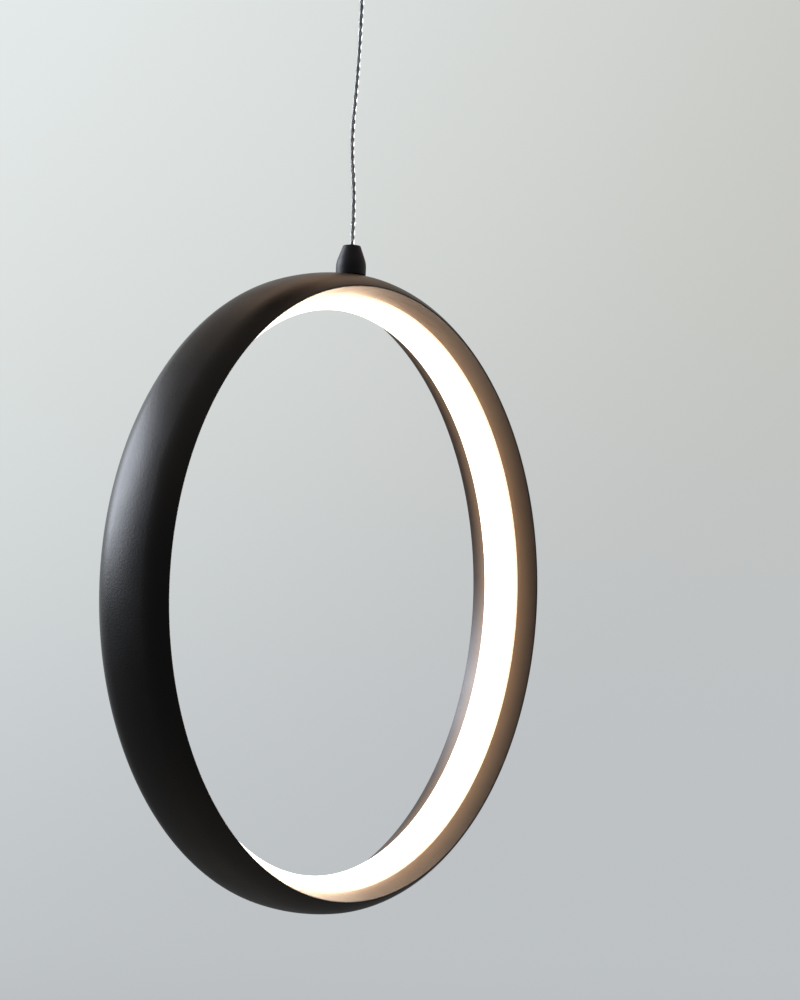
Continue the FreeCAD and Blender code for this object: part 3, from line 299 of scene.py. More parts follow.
def turned_about_y(name, outline, steps, centre):
    """Surface of revolution about the ring's axis. Outline point (along, out) at angle a goes to
    centre + (out * sin a, along, out * cos a)."""
    angle = around(steps)
    along = np.broadcast_to(outline[:, 0], (steps, len(outline)))
    vertices = np.stack([outline[:, 1] * np.sin(angle), along, outline[:, 1] * np.cos(angle)], -1)
    return new_piece(name, vertices.reshape(-1, 3) + np.array(centre), grid_faces(steps, len(outline), True))


def turned_about_z(name, outline, steps, foot=0.0, flipped=False, thread=None):
    """Surface of revolution about the hanging axis. Outline point (out, up) at angle a goes to
    (out * cos a, out * sin a, foot + up), or foot - up where the piece hangs upside down.

    With thread = (radius, pitch, depth), points on that radius sink by depth * (1 - cos(turn)) / 2, where
    turn grows by a whole turn for each pitch of height and falls by one for each turn round the axis.
    """
    angle = around(steps)
    out = np.broadcast_to(outline[:, 0], (steps, len(outline))).copy()
    if thread:
        radius, pitch, depth = thread
        turn = FULL_TURN * outline[:, 1] / pitch - angle
        out -= np.isclose(out, radius) * depth * (1 - np.cos(turn)) / 2
    up = np.broadcast_to(outline[:, 1] * (-1 if flipped else 1) + foot, out.shape)
    vertices = np.stack([out * np.cos(angle), out * np.sin(angle), up], -1)
    return new_piece(name, vertices.reshape(-1, 3), grid_faces(steps, len(outline), True))


def rod(start, end, radius, sides=64):
    """A closed round rod. Point k of each end ring sits at radius * (cos, sin) of k turns over sides, square
    to the line from start to end."""
    start, end = np.array(start, float), np.array(end, float)
    along = (end - start) / np.linalg.norm(end - start)
    across = np.cross(along, [0, 0, 1] if abs(along[2]) < 0.9 else [1, 0, 0])
    across /= np.linalg.norm(across)
    other = np.cross(along, across)
    ring = radius * (np.cos(around(sides)) * across + np.sin(around(sides)) * other)
    caps = [range(sides)[::-1], range(sides, 2 * sides)]
    return new_piece("cutter", np.concatenate([start + ring, end + ring]), grid_faces(2, sides, False), caps)


def drill(piece, *rods):
    """Cuts rods out of a piece, and leaves a plain mesh without modifiers."""
    for cutter in rods:
        hole = piece.modifiers.new("Hole", "BOOLEAN")
        hole.operation = "DIFFERENCE"
        hole.solver = "EXACT"
        hole.object = cutter
    graph = bpy.context.evaluated_depsgraph_get()
    graph.update()
    cut = bpy.data.meshes.new_from_object(piece.evaluated_get(graph))
    piece.modifiers.clear()
    piece.data = cut
    smooth(cut)
    for cutter in rods:
        bpy.data.objects.remove(cutter)


# Material nodes

# The ranges that a noise and the height of the surface grain mostly keep to
NOISE_SPAN = (0.3, 0.7)
GRAIN_SPAN = (0.4, 1.0)


def feed(tree, made, inputs):
    """Sets a node's inputs, each to a plain value or to the socket that feeds it."""
    for name, value in inputs.items():
        if isinstance(value, bpy.types.NodeSocket):
            tree.links.new(value, made.inputs[name])
        else:
            made.inputs[name].default_value = value
    return made


def node(tree, kind, inputs=None, **settings):
    """A node with its settings."""
    made = tree.nodes.new(kind)
    for name, value in settings.items():
        setattr(made, name, value)
    return feed(tree, made, inputs or {})


def math_node(tree, operation, first, second=0.0, third=0.0):
    """One sum on values."""
    return node(tree, "ShaderNodeMath", {0: first, 1: second, 2: third}, operation=operation).outputs[0]


def vector_node(tree, operation, first, second=(0.0, 0.0, 0.0)):
    """One sum on vectors, which gives a value where it is a length or a dot product."""
    made = node(tree, "ShaderNodeVectorMath", {0: first, 1: second}, operation=operation)
    return made.outputs["Value" if operation in ("LENGTH", "DOT_PRODUCT") else "Vector"]


def parts_of(tree, vector):
    """The X, Y and Z of a vector."""
    return node(tree, "ShaderNodeSeparateXYZ", {0: vector}).outputs


def mixed(tree, factor, first, second):
    """Colour between first and second, by a factor from 0 to 1."""
    first, second = (end if isinstance(end, bpy.types.NodeSocket) else (*end, 1.0) for end in (first, second))
    return node(tree, "ShaderNodeMix", {"Factor": factor, 6: first, 7: second}, data_type="RGBA").outputs[2]


def between(tree, value, low, high, new_low=0.0, new_high=1.0):
    """A value moved smoothly from the range low to high onto the range new_low to new_high."""
    made = node(tree, "ShaderNodeMapRange",
                {"Value": value, "From Min": low, "From Max": high, "To Min": new_low, "To Max": new_high},
                interpolation_type="SMOOTHSTEP")
    return made.outputs[0]


def noise(tree, vector, scale, detail=2.0, roughness=0.5):
    """A soft random value over the surface, mostly within NOISE_SPAN."""
    return node(tree, "ShaderNodeTexNoise",
                {"Vector": vector, "Scale": scale, "Detail": detail, "Roughness": roughness}).outputs[0]


def sized_noise(tree, vector, size, detail, roughness=0.5):
    """A noise whose features have the size that a socket gives."""
    return noise(tree, vector, math_node(tree, "DIVIDE", 1.0, size), detail, roughness)


def shader_group(name, values, results):
    """A node group that takes a vector and named values with their defaults, and gives named results. It
    comes back as its tree, the sockets that it is given and its last node."""
    tree = bpy.data.node_groups.new(name, "ShaderNodeTree")
    tree.interface.new_socket(name="Vector", in_out="INPUT", socket_type="NodeSocketVector")
    for value, default in values.items():
        made = tree.interface.new_socket(name=value, in_out="INPUT", socket_type="NodeSocketFloat")
        made.default_value = default
    for result in results:
        tree.interface.new_socket(name=result, in_out="OUTPUT", socket_type="NodeSocketFloat")
    return tree, tree.nodes.new("NodeGroupInput").outputs, tree.nodes.new("NodeGroupOutput")


@functools.cache
def grain_group():
    """Sprayed or moulded surface: a soft orange peel, and a fine grain on it."""
    tree, given, end = shader_group("Surface grain", {"Peel Size": 0.9 * MM, "Grain Size": 0.12 * MM},
                                    ["Height", "Fleck"])
    peel = sized_noise(tree, given["Vector"], given["Peel Size"], detail=1.0)
    grain = sized_noise(tree, given["Vector"], given["Grain Size"], detail=2.0)
    feed(tree, end, {"Height": math_node(tree, "MULTIPLY_ADD", grain, 0.35, peel),
                     "Fleck": between(tree, grain, 0.55, 0.72)})
    return tree


@functools.cache
def wear_group():
    """Rubbed edges: bare where Edge is high, broken up by a noise into longer stretches and small spots."""
    tree, given, end = shader_group("Edge wear", {"Edge": 0.0, "Amount": 0.5, "Patch Size": 6 * MM},
                                    ["Mask"])
    patches = sized_noise(tree, given["Vector"], given["Patch Size"], detail=6.0, roughness=0.7)
    reach = math_node(tree, "MULTIPLY_ADD", given["Edge"], 0.75, patches)
    bare = between(tree, reach, 1.0, 1.25)
    feed(tree, end, {"Mask": math_node(tree, "MULTIPLY", bare, given["Amount"])})
    return tree


@functools.cache
def dust_group():
    """Thin dust on what faces up, in soft drifts with specks in them."""
    tree, given, end = shader_group("Dust", {"Up": 0.0, "Amount": 0.2, "Drift Size": 14 * MM}, ["Mask"])
    drifts = sized_noise(tree, given["Vector"], given["Drift Size"], detail=5.0, roughness=0.6)
    drifts = between(tree, drifts, 0.35, 0.75)
    specks = between(tree, noise(tree, given["Vector"], scale=2200.0, detail=2.0), 0.50, 0.75)
    settled = math_node(tree, "MULTIPLY", between(tree, given["Up"], 0.3, 1.0), drifts)
    grainy = math_node(tree, "MULTIPLY", settled, math_node(tree, "MULTIPLY_ADD", specks, 0.6, 0.4))
    feed(tree, end, {"Mask": math_node(tree, "MULTIPLY", grainy, given["Amount"])})
    return tree


@functools.cache
def plated_group():
    """Plated metal: rolling lines along X, soft cloudy tint and small scuffs."""
    tree, given, end = shader_group("Plated metal", {"Line Size": 0.15 * MM, "Cloud Size": 7 * MM},
                                    ["Lines", "Cloud", "Scuff"])
    stretch = (0.03, 1.0, 1.0)
    stretched = vector_node(tree, "MULTIPLY", given["Vector"], stretch)
    scuff = node(tree, "ShaderNodeTexVoronoi", {"Vector": stretched, "Scale": 900.0},
                 feature="DISTANCE_TO_EDGE").outputs[0]
    feed(tree, end, {"Lines": sized_noise(tree, stretched, given["Line Size"], detail=2.0),
                     "Cloud": sized_noise(tree, given["Vector"], given["Cloud Size"], detail=4.0),
                     "Scuff": between(tree, scuff, 0.0, 0.04, 1.0, 0.0)})
    return tree


def spaced(values):
    """Values by socket name, whose spaces are written as underscores."""
    return {name.replace("_", " "): value for name, value in values.items()}


def placed(tree, group, vector, **values):
    """What a shared group puts out in a material."""
    made = node(tree, "ShaderNodeGroup", node_tree=group)
    return feed(tree, made, {"Vector": vector, **spaced(values)}).outputs


def blank_material(name, **plain):
    """A material with a Principled shader whose plain values are set on its own sockets. Gives the material,
    its tree, its shader and the object's own coordinates."""
    material = bpy.data.materials.new(name)
    material.use_nodes = True
    tree = material.node_tree
    shader = feed(tree, tree.nodes["Principled BSDF"], spaced(plain))
    return material, tree, shader, node(tree, "ShaderNodeTexCoord").outputs["Object"]


def surface(tree, shader, colour, roughness, height, depth, strength):
    """Gives a shader its colour, its roughness and bumps that are depth deep where the height is 1."""
    bump = node(tree, "ShaderNodeBump", {"Height": height, "Distance": depth, "Strength": strength})
    feed(tree, shader, {"Base Color": colour, "Roughness": roughness, "Normal": bump.outputs[0]})


def facing_up(tree):
    """How far the surface faces up: the upward part of its normal."""
    return parts_of(tree, node(tree, "ShaderNodeNewGeometry").outputs["Normal"])["Z"]


def convexity(tree):
    """1 on convex edges of a mesh and 0 on its flats, from how pointed the surface is."""
    return between(tree, node(tree, "ShaderNodeNewGeometry").outputs["Pointiness"], 0.505, 0.56)


def lip_painted_light(tree, place, side, colours, ring):
    """Mask and colour of the lips, the part of the band nearer to the ring's axis than its ridges. The colour
    there is painted light from the opal strip: warm and bright beside it, fading towards the ridge."""
    spoke = vector_node(tree, "SUBTRACT", place, RING_CENTRE)
    out = vector_node(tree, "LENGTH", vector_node(tree, "MULTIPLY", spoke, (1.0, 0.0, 1.0)))
    ridge_radius = ring.radius - ring.dome_rise
    mask = between(tree, out, ridge_radius - 0.3 * MM, ridge_radius + 0.1 * MM, 1.0, 0.0)
    glow_fade = between(tree, side, 0.9 * ring.channel_half, ring.ridge_half)
    # Painted light from the opal strip: bright beside it, fading to the lip edge colour towards the ridge
    return mask, mixed(tree, glow_fade, colours.lip, colours.lip_edge_painted_glow)


def satin_coat(name, colours, ring=None):
    """Satin powder coat: black with a fine bronze fleck, peel, thin dust on top, and edges rubbed a little.

    On the ring the rubbed edges are its two ridges, and the lips inside them carry painted light from the
    opal strip, with less relief. On the canopy the rubbed edge is the rim.
    """
    bare, dust_colour = (0.045, 0.042, 0.040), (0.45, 0.43, 0.40)
    rim_height = 1.5 * MM
    fleck_share, lip_relief, polish = 0.35, 0.2, 0.12
    material, tree, shader, place = blank_material(name, Specular_IOR_Level=0.28)
    grain = placed(tree, grain_group(), place, Peel_Size=1.0 * MM, Grain_Size=0.3 * MM)
    fleck = math_node(tree, "MULTIPLY", grain["Fleck"], fleck_share)
    tone = mixed(tree, fleck, colours.coat, colours.coat_fleck)
    relief = grain["Height"]
    parts = parts_of(tree, place)
    if ring:
        side = math_node(tree, "ABSOLUTE", parts["Y"])
        edge = between(tree, side, 0.975 * ring.ridge_half, ring.ridge_half)
        # The lips show painted light from the opal strip in place of the coat's own colour
        lips, painted_glow = lip_painted_light(tree, place, side, colours, ring)
        tone = mixed(tree, lips, tone, painted_glow)
        relief = math_node(tree, "MULTIPLY", relief, between(tree, lips, 0.0, 1.0, 1.0, lip_relief))
    else:
        edge = between(tree, parts["Z"], CANOPY_HIGH.z - rim_height, CANOPY_HIGH.z)
    wear = placed(tree, wear_group(), place, Edge=edge, Amount=0.45)["Mask"]
    dust = placed(tree, dust_group(), place, Up=facing_up(tree), Amount=0.035)["Mask"]
    tone = mixed(tree, dust, mixed(tree, wear, tone, bare), dust_colour)
    rough = between(tree, noise(tree, place, scale=60.0, detail=3.0), *NOISE_SPAN, 0.36, 0.40)
    rough = math_node(tree, "ADD", math_node(tree, "MULTIPLY_ADD", wear, -polish, rough), dust)
    surface(tree, shader, tone, rough, relief, depth=0.06 * MM, strength=0.8)
    return material


def lit_opal(colours, ring):
    """Opal strip, lit from behind: evenly bright over its crown, warmer and dimmer down its flanks.

    A faint beat shows where each light source sits behind it. The camera sees that glow, and the pieces round
    it are lit by the strip's full light.
    """
    flank_glow, cloud_colour = (0.66, 0.56, 0.42), (0.86, 0.83, 0.77)
    beats, beat_depth, roughness = 106.0, 0.02, 0.32
    material, tree, shader, place = blank_material("lit_opal", Emission_Strength=colours.light_strength)
    parts = parts_of(tree, place)
    side = math_node(tree, "ABSOLUTE", parts["Y"])
    flank = between(tree, side, 0.84 * ring.channel_half, ring.channel_half)
    down = math_node(tree, "SUBTRACT", parts["Z"], RING_CENTRE.z)
    turn = math_node(tree, "ARCTAN2", parts["X"], down)
    beat = math_node(tree, "COSINE", math_node(tree, "MULTIPLY", turn, beats))
    beat = math_node(tree, "MULTIPLY_ADD", beat, beat_depth, 1 - beat_depth)
    shown = mixed(tree, flank, colours.light, flank_glow)
    seen = node(tree, "ShaderNodeLightPath").outputs["Is Camera Ray"]
    glow = mixed(tree, seen, [LIGHT_GAIN * part for part in LIGHT_TINT], shown)
    lit = node(tree, "ShaderNodeVectorMath", {0: glow, 3: beat}, operation="SCALE").outputs[0]
    feed(tree, shader, {"Emission Color": lit})
    cloudy = between(tree, noise(tree, place, scale=90.0, detail=3.0), *NOISE_SPAN)
    tone = mixed(tree, cloudy, colours.opal, cloud_colour)
    ripple = noise(tree, place, scale=900.0, detail=1.0)
    surface(tree, shader, tone, roughness, ripple, depth=0.01 * MM, strength=0.4)
    return material


def black_moulding(colours):
    """Matt black moulding with a fine spark texture, a slightly polished rim and a little dust."""
    fleck_colour, polished, dust_colour = (0.030, 0.029, 0.035), (0.03, 0.03, 0.033), (0.4, 0.39, 0.37)
    fleck_share, polish = 0.3, 0.15
    material, tree, shader, place = blank_material("black_moulding", Specular_IOR_Level=0.22)
    grain = placed(tree, grain_group(), place, Peel_Size=0.5 * MM, Grain_Size=0.09 * MM)
    wear = placed(tree, wear_group(), place, Edge=convexity(tree), Amount=0.5, Patch_Size=2 * MM)["Mask"]
    dust = placed(tree, dust_group(), place, Up=facing_up(tree), Amount=0.05, Drift_Size=3 * MM)["Mask"]
    fleck = math_node(tree, "MULTIPLY", grain["Fleck"], fleck_share)
    tone = mixed(tree, wear, mixed(tree, fleck, colours.moulding, fleck_colour), polished)
    rough = between(tree, grain["Height"], *GRAIN_SPAN, 0.42, 0.54)
    rough = math_node(tree, "MULTIPLY_ADD", wear, -polish, rough)
    tone = mixed(tree, dust, tone, dust_colour)
    surface(tree, shader, tone, rough, grain["Height"], depth=0.02 * MM, strength=0.6)
    return material


def clear_jacket():
    """Clear soft jacket: slightly cloudy glass-like plastic with faint drawing lines and finger marks."""
    clear, cloudy = (0.97, 0.98, 0.98), (0.90, 0.91, 0.90)
    material, tree, shader, place = blank_material("clear_jacket", IOR=1.47, Transmission_Weight=1.0)
    cloud = between(tree, noise(tree, place, scale=400.0, detail=3.0), *NOISE_SPAN)
    marks = between(tree, noise(tree, place, scale=150.0, detail=4.0), 0.35, 0.7, 0.06, 0.22)
    feed(tree, shader, {"Base Color": mixed(tree, cloud, clear, cloudy), "Roughness": marks})
    return material


def bare_wire(colours):
    """Tinned wire: bright metal with grey oxide in patches and fine drawing lines."""
    oxide = (0.24, 0.235, 0.23)
    material, tree, shader, place = blank_material("bare_wire", Metallic=1.0)
    patches = noise(tree, place, scale=1500.0, detail=4.0, roughness=0.65)
    tone = mixed(tree, between(tree, patches, 0.35, 0.65), colours.wire, oxide)
    rough = between(tree, patches, *NOISE_SPAN, 0.28, 0.55)
    lines = noise(tree, place, scale=9000.0, detail=1.0)
    surface(tree, shader, tone, rough, lines, depth=0.004 * MM, strength=0.5)
    return material


def plated_metal(name, colour, tint, roughness):
    """Plated metal: rolling lines, a cloudy second tint, scuffs, and edges polished brighter."""
    scuff_colour, polished = (0.30, 0.30, 0.30), (0.80, 0.80, 0.80)
    scuff_share, polish = 0.25, 0.1
    material, tree, shader, place = blank_material(name, Metallic=1.0)
    plated = placed(tree, plated_group(), place)
    wear = placed(tree, wear_group(), place, Edge=convexity(tree), Amount=0.7, Patch_Size=2 * MM)["Mask"]
    tone = mixed(tree, between(tree, plated["Cloud"], 0.35, 0.65), colour, tint)
    tone = mixed(tree, math_node(tree, "MULTIPLY", plated["Scuff"], scuff_share), tone, scuff_colour)
    rough = between(tree, plated["Lines"], *NOISE_SPAN, roughness - 0.06, roughness + 0.08)
    rough = math_node(tree, "MULTIPLY_ADD", wear, -polish, rough)
    tone = mixed(tree, wear, tone, polished)
    surface(tree, shader, tone, rough, plated["Lines"], depth=0.005 * MM, strength=0.5)
    return material


def moulded(name, colour, shade, roughness=0.45, peel=0.6 * MM, specular=0.5):
    """Moulded plastic, rubber, tape or ceramic: two near tones in soft patches over a fine grain."""
    dust_colour = (0.42, 0.40, 0.37)
    material, tree, shader, place = blank_material(name, Specular_IOR_Level=specular)
    grain = placed(tree, grain_group(), place, Peel_Size=peel, Grain_Size=0.1 * MM)
    dust = placed(tree, dust_group(), place, Up=facing_up(tree), Amount=0.12, Drift_Size=6 * MM)["Mask"]
    tone = mixed(tree, between(tree, noise(tree, place, scale=140.0, detail=4.0), *NOISE_SPAN), colour, shade)
    rough = between(tree, grain["Height"], *GRAIN_SPAN, roughness - 0.05, roughness + 0.08)
    tone = mixed(tree, dust, tone, dust_colour)
    surface(tree, shader, tone, rough, grain["Height"], depth=0.015 * MM, strength=0.6)
    return material


def earth_wire():
    """Green wire insulation with a yellow stripe that winds round it."""
    green, yellow = (0.06, 0.26, 0.05), (0.72, 0.60, 0.04)
    material, tree, shader, place = blank_material("lead_green")
    wave = node(tree, "ShaderNodeTexWave", {"Vector": place, "Scale": 90.0, "Distortion": 0.6, "Detail": 1.0},
                bands_direction="DIAGONAL")
    stripe = between(tree, wave.outputs["Fac"], 0.55, 0.65)
    grain = placed(tree, grain_group(), place, Peel_Size=0.4 * MM)["Height"]
    tone = mixed(tree, stripe, green, yellow)
    rough = between(tree, grain, *GRAIN_SPAN, 0.35, 0.48)
    surface(tree, shader, tone, rough, grain, depth=0.01 * MM, strength=0.5)
    return material


def twisted_jacket(sizes):
    """The cable's held ends: the same two grey cores, seen through the jacket as bands that wind about its
    axis."""
    shadow, wire_grey = (0.16, 0.16, 0.155), (0.52, 0.52, 0.51)
    wire_rise, wire_share = 0.6 * MM, 0.25
    material, tree, shader, place = blank_material("cable_end", Coat_Weight=0.6, Coat_Roughness=0.12)
    parts = parts_of(tree, place)
    turn = math_node(tree, "ARCTAN2", parts["Y"], parts["X"])
    climb = math_node(tree, "MULTIPLY_ADD", parts["Z"], FULL_TURN / sizes.core_lay, turn)
    core = math_node(tree, "ABSOLUTE", math_node(tree, "SINE", climb))
    wires = math_node(tree, "MULTIPLY_ADD", parts["Z"], FULL_TURN / wire_rise, turn)
    fine = math_node(tree, "MULTIPLY_ADD", math_node(tree, "SINE", wires), wire_share, core)
    tone = mixed(tree, between(tree, fine, 0.1, 0.9), shadow, wire_grey)
    rough = between(tree, fine, 0.0, 1.0, 0.5, 0.3)
    surface(tree, shader, tone, rough, fine, depth=0.02 * MM, strength=0.5)
    return material


def dress(material, slot, *names):
    """Gives CAD nodes a finish in place of their plain one."""
    for name in names:
        mesh = frame["nodes"][name].data
        mesh.materials.clear()
        mesh.materials.append(material)


def finished(piece, material, body, slot, *nodes):
    """Gives a new piece its finish, on its body, in place of the nodes that it stands for."""
    piece.data.materials.clear()
    piece.data.materials.append(material)
    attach(piece, body)
    if nodes:
        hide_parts(*nodes)


# Pieces

class PENDANT_OT_camera(bpy.types.Operator):
    """Places the camera a little to the left of the ring and below its top, looking slightly up"""
    bl_idname = "pendant.camera"
    bl_label = "Camera"

    offset_from_ring = Vector((-0.93192, -0.70630, -0.01545))
    line_of_sight = Vector((0.809888, 0.584343, 0.051231))

    def execute(self, context):
        scene = context.scene
        studio = scene.pendant_studio
        forward = self.line_of_sight.normalized()
        level = forward.cross(Vector((0, 0, 1))).normalized()
        upright = level.cross(forward)
        right = level * math.cos(studio.roll) + upright * math.sin(studio.roll)
        turn = Matrix((right, right.cross(forward), -forward)).transposed()
        data = bpy.data.cameras.new("camera")
        data.lens = studio.lens
        data.sensor_width = 36.0
        data.clip_start = 0.01
        data.clip_end = 50.0
        scene.camera = new_object("camera", data)
        scene.camera.matrix_world = Matrix.Translation(RING_CENTRE + self.offset_from_ring) @ turn.to_4x4()
        return {"FINISHED"}


def route_points(upper, lower):
    """Points down the cable, each bowed sideways along one heading."""
    sideways = Vector((math.cos(CABLE_BOW_HEADING), math.sin(CABLE_BOW_HEADING), 0))
    return [upper.lerp(lower, share_down) + sideways * bow for share_down, bow in CABLE_ROUTE]


def smooth_line(name, points):
    """An open curve that draws near its points, with the first and last on it."""
    data = bpy.data.curves.new(name, "CURVE")
    data.dimensions = "3D"
    data.resolution_u = 48
    spline = data.splines.new("NURBS")
    spline.points.add(len(points) - 1)
    for place, point in zip(spline.points, points):
        place.co = (*point, 1.0)
    spline.order_u = 3
    spline.use_endpoint_u = True
    return new_object(name, data)


def line_points(line, count):
    """Points evenly spaced along a curve that has no thickness yet, and the length walked to each."""
    mesh = bpy.data.meshes.new_from_object(line)
    points = np.zeros(len(mesh.vertices) * 3)
    mesh.vertices.foreach_get("co", points)
    bpy.data.meshes.remove(mesh)
    points = points.reshape(-1, 3)
    walked = np.concatenate([[0], np.cumsum(np.linalg.norm(np.diff(points, axis=0), axis=1))])
    stops = np.linspace(0, walked[-1], count)
    return np.stack([np.interp(stops, walked, points[:, i]) for i in range(3)], -1), stops


def wound_wires(name, path, walked, sizes):
    """Bare wires inside the jacket.

    With n and b square to the path and s the length walked, core c stands off the path by core_offset at
    angle 2 pi s / core_lay + pi c. Wire w stands off its core by wire_offset at angle
    2 pi s / wire_lay + 2 pi w / wires, and the wire's skin stands off that line by wire_radius.
    """
    sides = 8
    along = np.gradient(path, axis=0)
    along /= np.linalg.norm(along, axis=1)[:, None]
    n = np.cross(along, [0, 1, 0])
    n /= np.linalg.norm(n, axis=1)[:, None]
    b = np.cross(along, n)

    def off(radius, angle):
        """The step of a radius from a line, towards an angle between n and b."""
        spread = (slice(None),) + (None,) * (angle.ndim - 1)
        return radius * (np.cos(angle)[..., None] * n[spread] + np.sin(angle)[..., None] * b[spread])

    s = walked[:, None, None, None]
    core = FULL_TURN * (s / sizes.core_lay + np.arange(2)[:, None, None] / 2)
    wire = FULL_TURN * (s / sizes.wire_lay + np.arange(sizes.wires)[:, None] / sizes.wires)
    skin = FULL_TURN * np.arange(sides) / sides + 0 * s
    points = (path[:, None, None, None] + off(sizes.core_offset, core) + off(sizes.wire_offset, wire)
              + off(sizes.wire_radius, skin))
    tubes = np.moveaxis(points, 0, 2).reshape(-1, len(path), sides, 3)
    per_tube = len(path) * sides
    first = np.arange(len(tubes))[:, None, None] * per_tube
    faces = (grid_faces(len(path), sides, False)[None] + first).reshape(-1, 4)
    ring = np.arange(sides)
    caps = [cap.tolist() for tube in range(len(tubes))
            for cap in (ring[::-1] + tube * per_tube, ring + (tube + 1) * per_tube - sides)]
    return new_piece(name, tubes.reshape(-1, 3), faces, caps)


class PENDANT_OT_cable(bpy.types.Operator):
    """Makes the hanging cable, its clear jacket and the two twisted cores inside"""
    bl_idname = "pendant.cable"
    bl_label = "Cable"

    points_along = 620

    def execute(self, context):
        scene = context.scene
        sizes = scene.pendant_cable
        upper, lower = JOINT_PLACES["cable_swing"], JOINT_PLACES["ring_rock"]
        jacket = smooth_line("hanging_cable_jacket", route_points(upper, lower))
        path, walked = line_points(jacket, self.points_along)
        jacket.data.bevel_depth = sizes.diameter / 2
        jacket.data.bevel_resolution = 6
        jacket.data.use_fill_caps = True
        finished(jacket, clear_jacket(), "hanging_cable", "cable_jacket", "cable")
        wires = wound_wires("hanging_cable_wires", path, walked, sizes)
        finished(wires, bare_wire(scene.pendant_colours), "hanging_cable", "cable_jacket")
        dress(twisted_jacket(sizes), "cable_jacket", "cable_upper_tail", "cable_lower_tail")
        return {"FINISHED"}


# How many points each part of a section has
CREST_POINTS = 13
SHOULDER_POINTS = 22
RIDGE_POINTS = 9
LIP_POINTS = 8
CHANNEL_FLOOR_POINTS = 6
CROWN_OUTSIDE_POINTS = 49
CROWN_INSIDE_POINTS = 33


def band_outline(ring):
    """The band's closed section, as (along the ring's axis, out from its centre).

    The back is one flat arc over the crest and a shoulder arc each side. A shoulder leaves the crest arc
    without a kink and ends on the ridge, so its radius is chord squared over twice the chord's inward part.
    """
    half_crest = ring.crest_share * ring.ridge_half
    lean = math.asin(half_crest / ring.crest_arc)
    top = np.array([0, ring.radius])
    join = np.array([half_crest, ring.radius - ring.crest_arc * (1 - math.cos(lean))])
    ridge = np.array([ring.ridge_half, ring.radius - ring.dome_rise])
    inward = np.array([-math.sin(lean), -math.cos(lean)])
    chord = ridge - join
    shoulder = chord @ chord / (2 * inward @ chord)
    centre = join + inward * shoulder
    start, end = (math.atan2(*(point - centre)[::-1]) for point in (join, ridge))
    shoulder_points = arc(centre, shoulder, start, end, SHOULDER_POINTS)
    mouth = np.array([ring.channel_half, ridge[1] - ring.lip_depth])
    groove_low = mouth[1] + ring.groove_setback
    groove_high = groove_low + ring.groove_height
    floor = ring.radius - ring.crest_wall
    groove = ring.channel_half + ring.groove_depth
    rounded_ridge = rounded(shoulder_points[-2], ridge, mouth, ring.ridge_rounding, RIDGE_POINTS)
    lip = np.linspace(rounded_ridge[-1], mouth, LIP_POINTS)[1:]
    inside = np.array([(ring.channel_half, groove_low), (groove, groove_low), (groove, groove_high),
                       (ring.channel_half, groove_high), (ring.channel_half, floor)])
    crest = arc_through(mirrored(join[None])[0], top, join, CREST_POINTS)[CREST_POINTS // 2:-1]
    channel_floor = np.linspace(inside[-1], (0, floor), CHANNEL_FLOOR_POINTS)[1:]
    back = np.concatenate([crest, shoulder_points[:-2], rounded_ridge, lip, inside, channel_floor])
    return np.concatenate([back, mirrored(back)[1:-1]])


class PENDANT_OT_ring_band(bpy.types.Operator):
    """Makes the domed black band with its lips, channel and snap grooves, and drills it for the nipple"""
    bl_idname = "pendant.ring_band"
    bl_label = "Ring band"

    def execute(self, context):
        scene = context.scene
        ring = scene.pendant_ring
        fittings = scene.pendant_fittings
        band = turned_about_y("ring_band", band_outline(ring), ring.steps, RING_CENTRE)
        washer_low, washer_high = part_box("lower_washer")
        below = washer_low.z - ring.crest_wall
        above = BAND_HIGH.z + ring.crest_wall
        drill(band,
              rod((0, 0, below), (0, 0, above), fittings.thread_radius + fittings.play),
              rod((0, 0, below), (0, 0, washer_high.z), washer_high.x + 2 * fittings.play))
        coat = satin_coat("ring_coat", scene.pendant_colours, ring)
        finished(band, coat, "ring", "ring_black", "ring_housing")
        return {"FINISHED"}


def opal_outline(ring):
    """Section of the opal strip: a crown between two circle arcs, and a leg with a snap bead each side."""
    bead_lead = 0.6
    mouth = ring.radius - ring.dome_rise - ring.lip_depth
    leg = ring.channel_half - ring.opal_gap
    inner = leg - ring.opal_leg
    bead = ring.channel_half + ring.groove_depth - ring.opal_gap
    low = mouth + ring.groove_setback + ring.opal_gap
    high = mouth + ring.groove_setback + ring.groove_height - ring.opal_gap
    apex = mouth - ring.crown
    outside = arc_through((-leg, mouth), (0, apex), (leg, mouth), CROWN_OUTSIDE_POINTS)
    inside = arc_through((inner, mouth), (0, apex + ring.opal_wall), (-inner, mouth), CROWN_INSIDE_POINTS)
    leg_points = np.array([(leg, low), (bead, low), (bead, low + bead_lead * (high - low)), (leg, high),
                           (inner, high)])
    return np.concatenate([outside, leg_points, inside, mirrored(leg_points)])


class PENDANT_OT_diffuser(bpy.types.Operator):
    """Makes the lit opal strip on the inner side of the band"""
    bl_idname = "pendant.diffuser"
    bl_label = "Opal strip"

    def execute(self, context):
        scene = context.scene
        ring = scene.pendant_ring
        opal = turned_about_y("opal_strip", opal_outline(ring), ring.steps, RING_CENTRE)
        finished(opal, lit_opal(scene.pendant_colours, ring), "ring", "opal", "diffuser")
        return {"FINISHED"}


def grip_outline(sizes, radius, height, cable_radius, mouth_depth):
    """Section of a cable grip that stands on its base: skirt, bulged side, cone, flared mouth and bore."""
    thread = sizes.thread_radius + sizes.play
    bore = cable_radius + sizes.play
    pivot = height - mouth_depth
    return closed_outline([
        (thread, 0, 0),
        (radius, 0, sizes.grip_base_rounding),
        (radius, sizes.grip_shoulder_share * height, sizes.grip_side_rounding),
        (sizes.grip_tip, height, sizes.grip_tip_rounding),
        (sizes.mouth_radius, height, 0),
        (sizes.mouth_throat, pivot, 0),
        (sizes.mouth_throat, pivot - sizes.mouth_floor, 0),
        (bore, pivot - sizes.mouth_floor, 0),
        (bore, sizes.thread_length, 0),
        (thread, sizes.thread_length, 0),
    ])


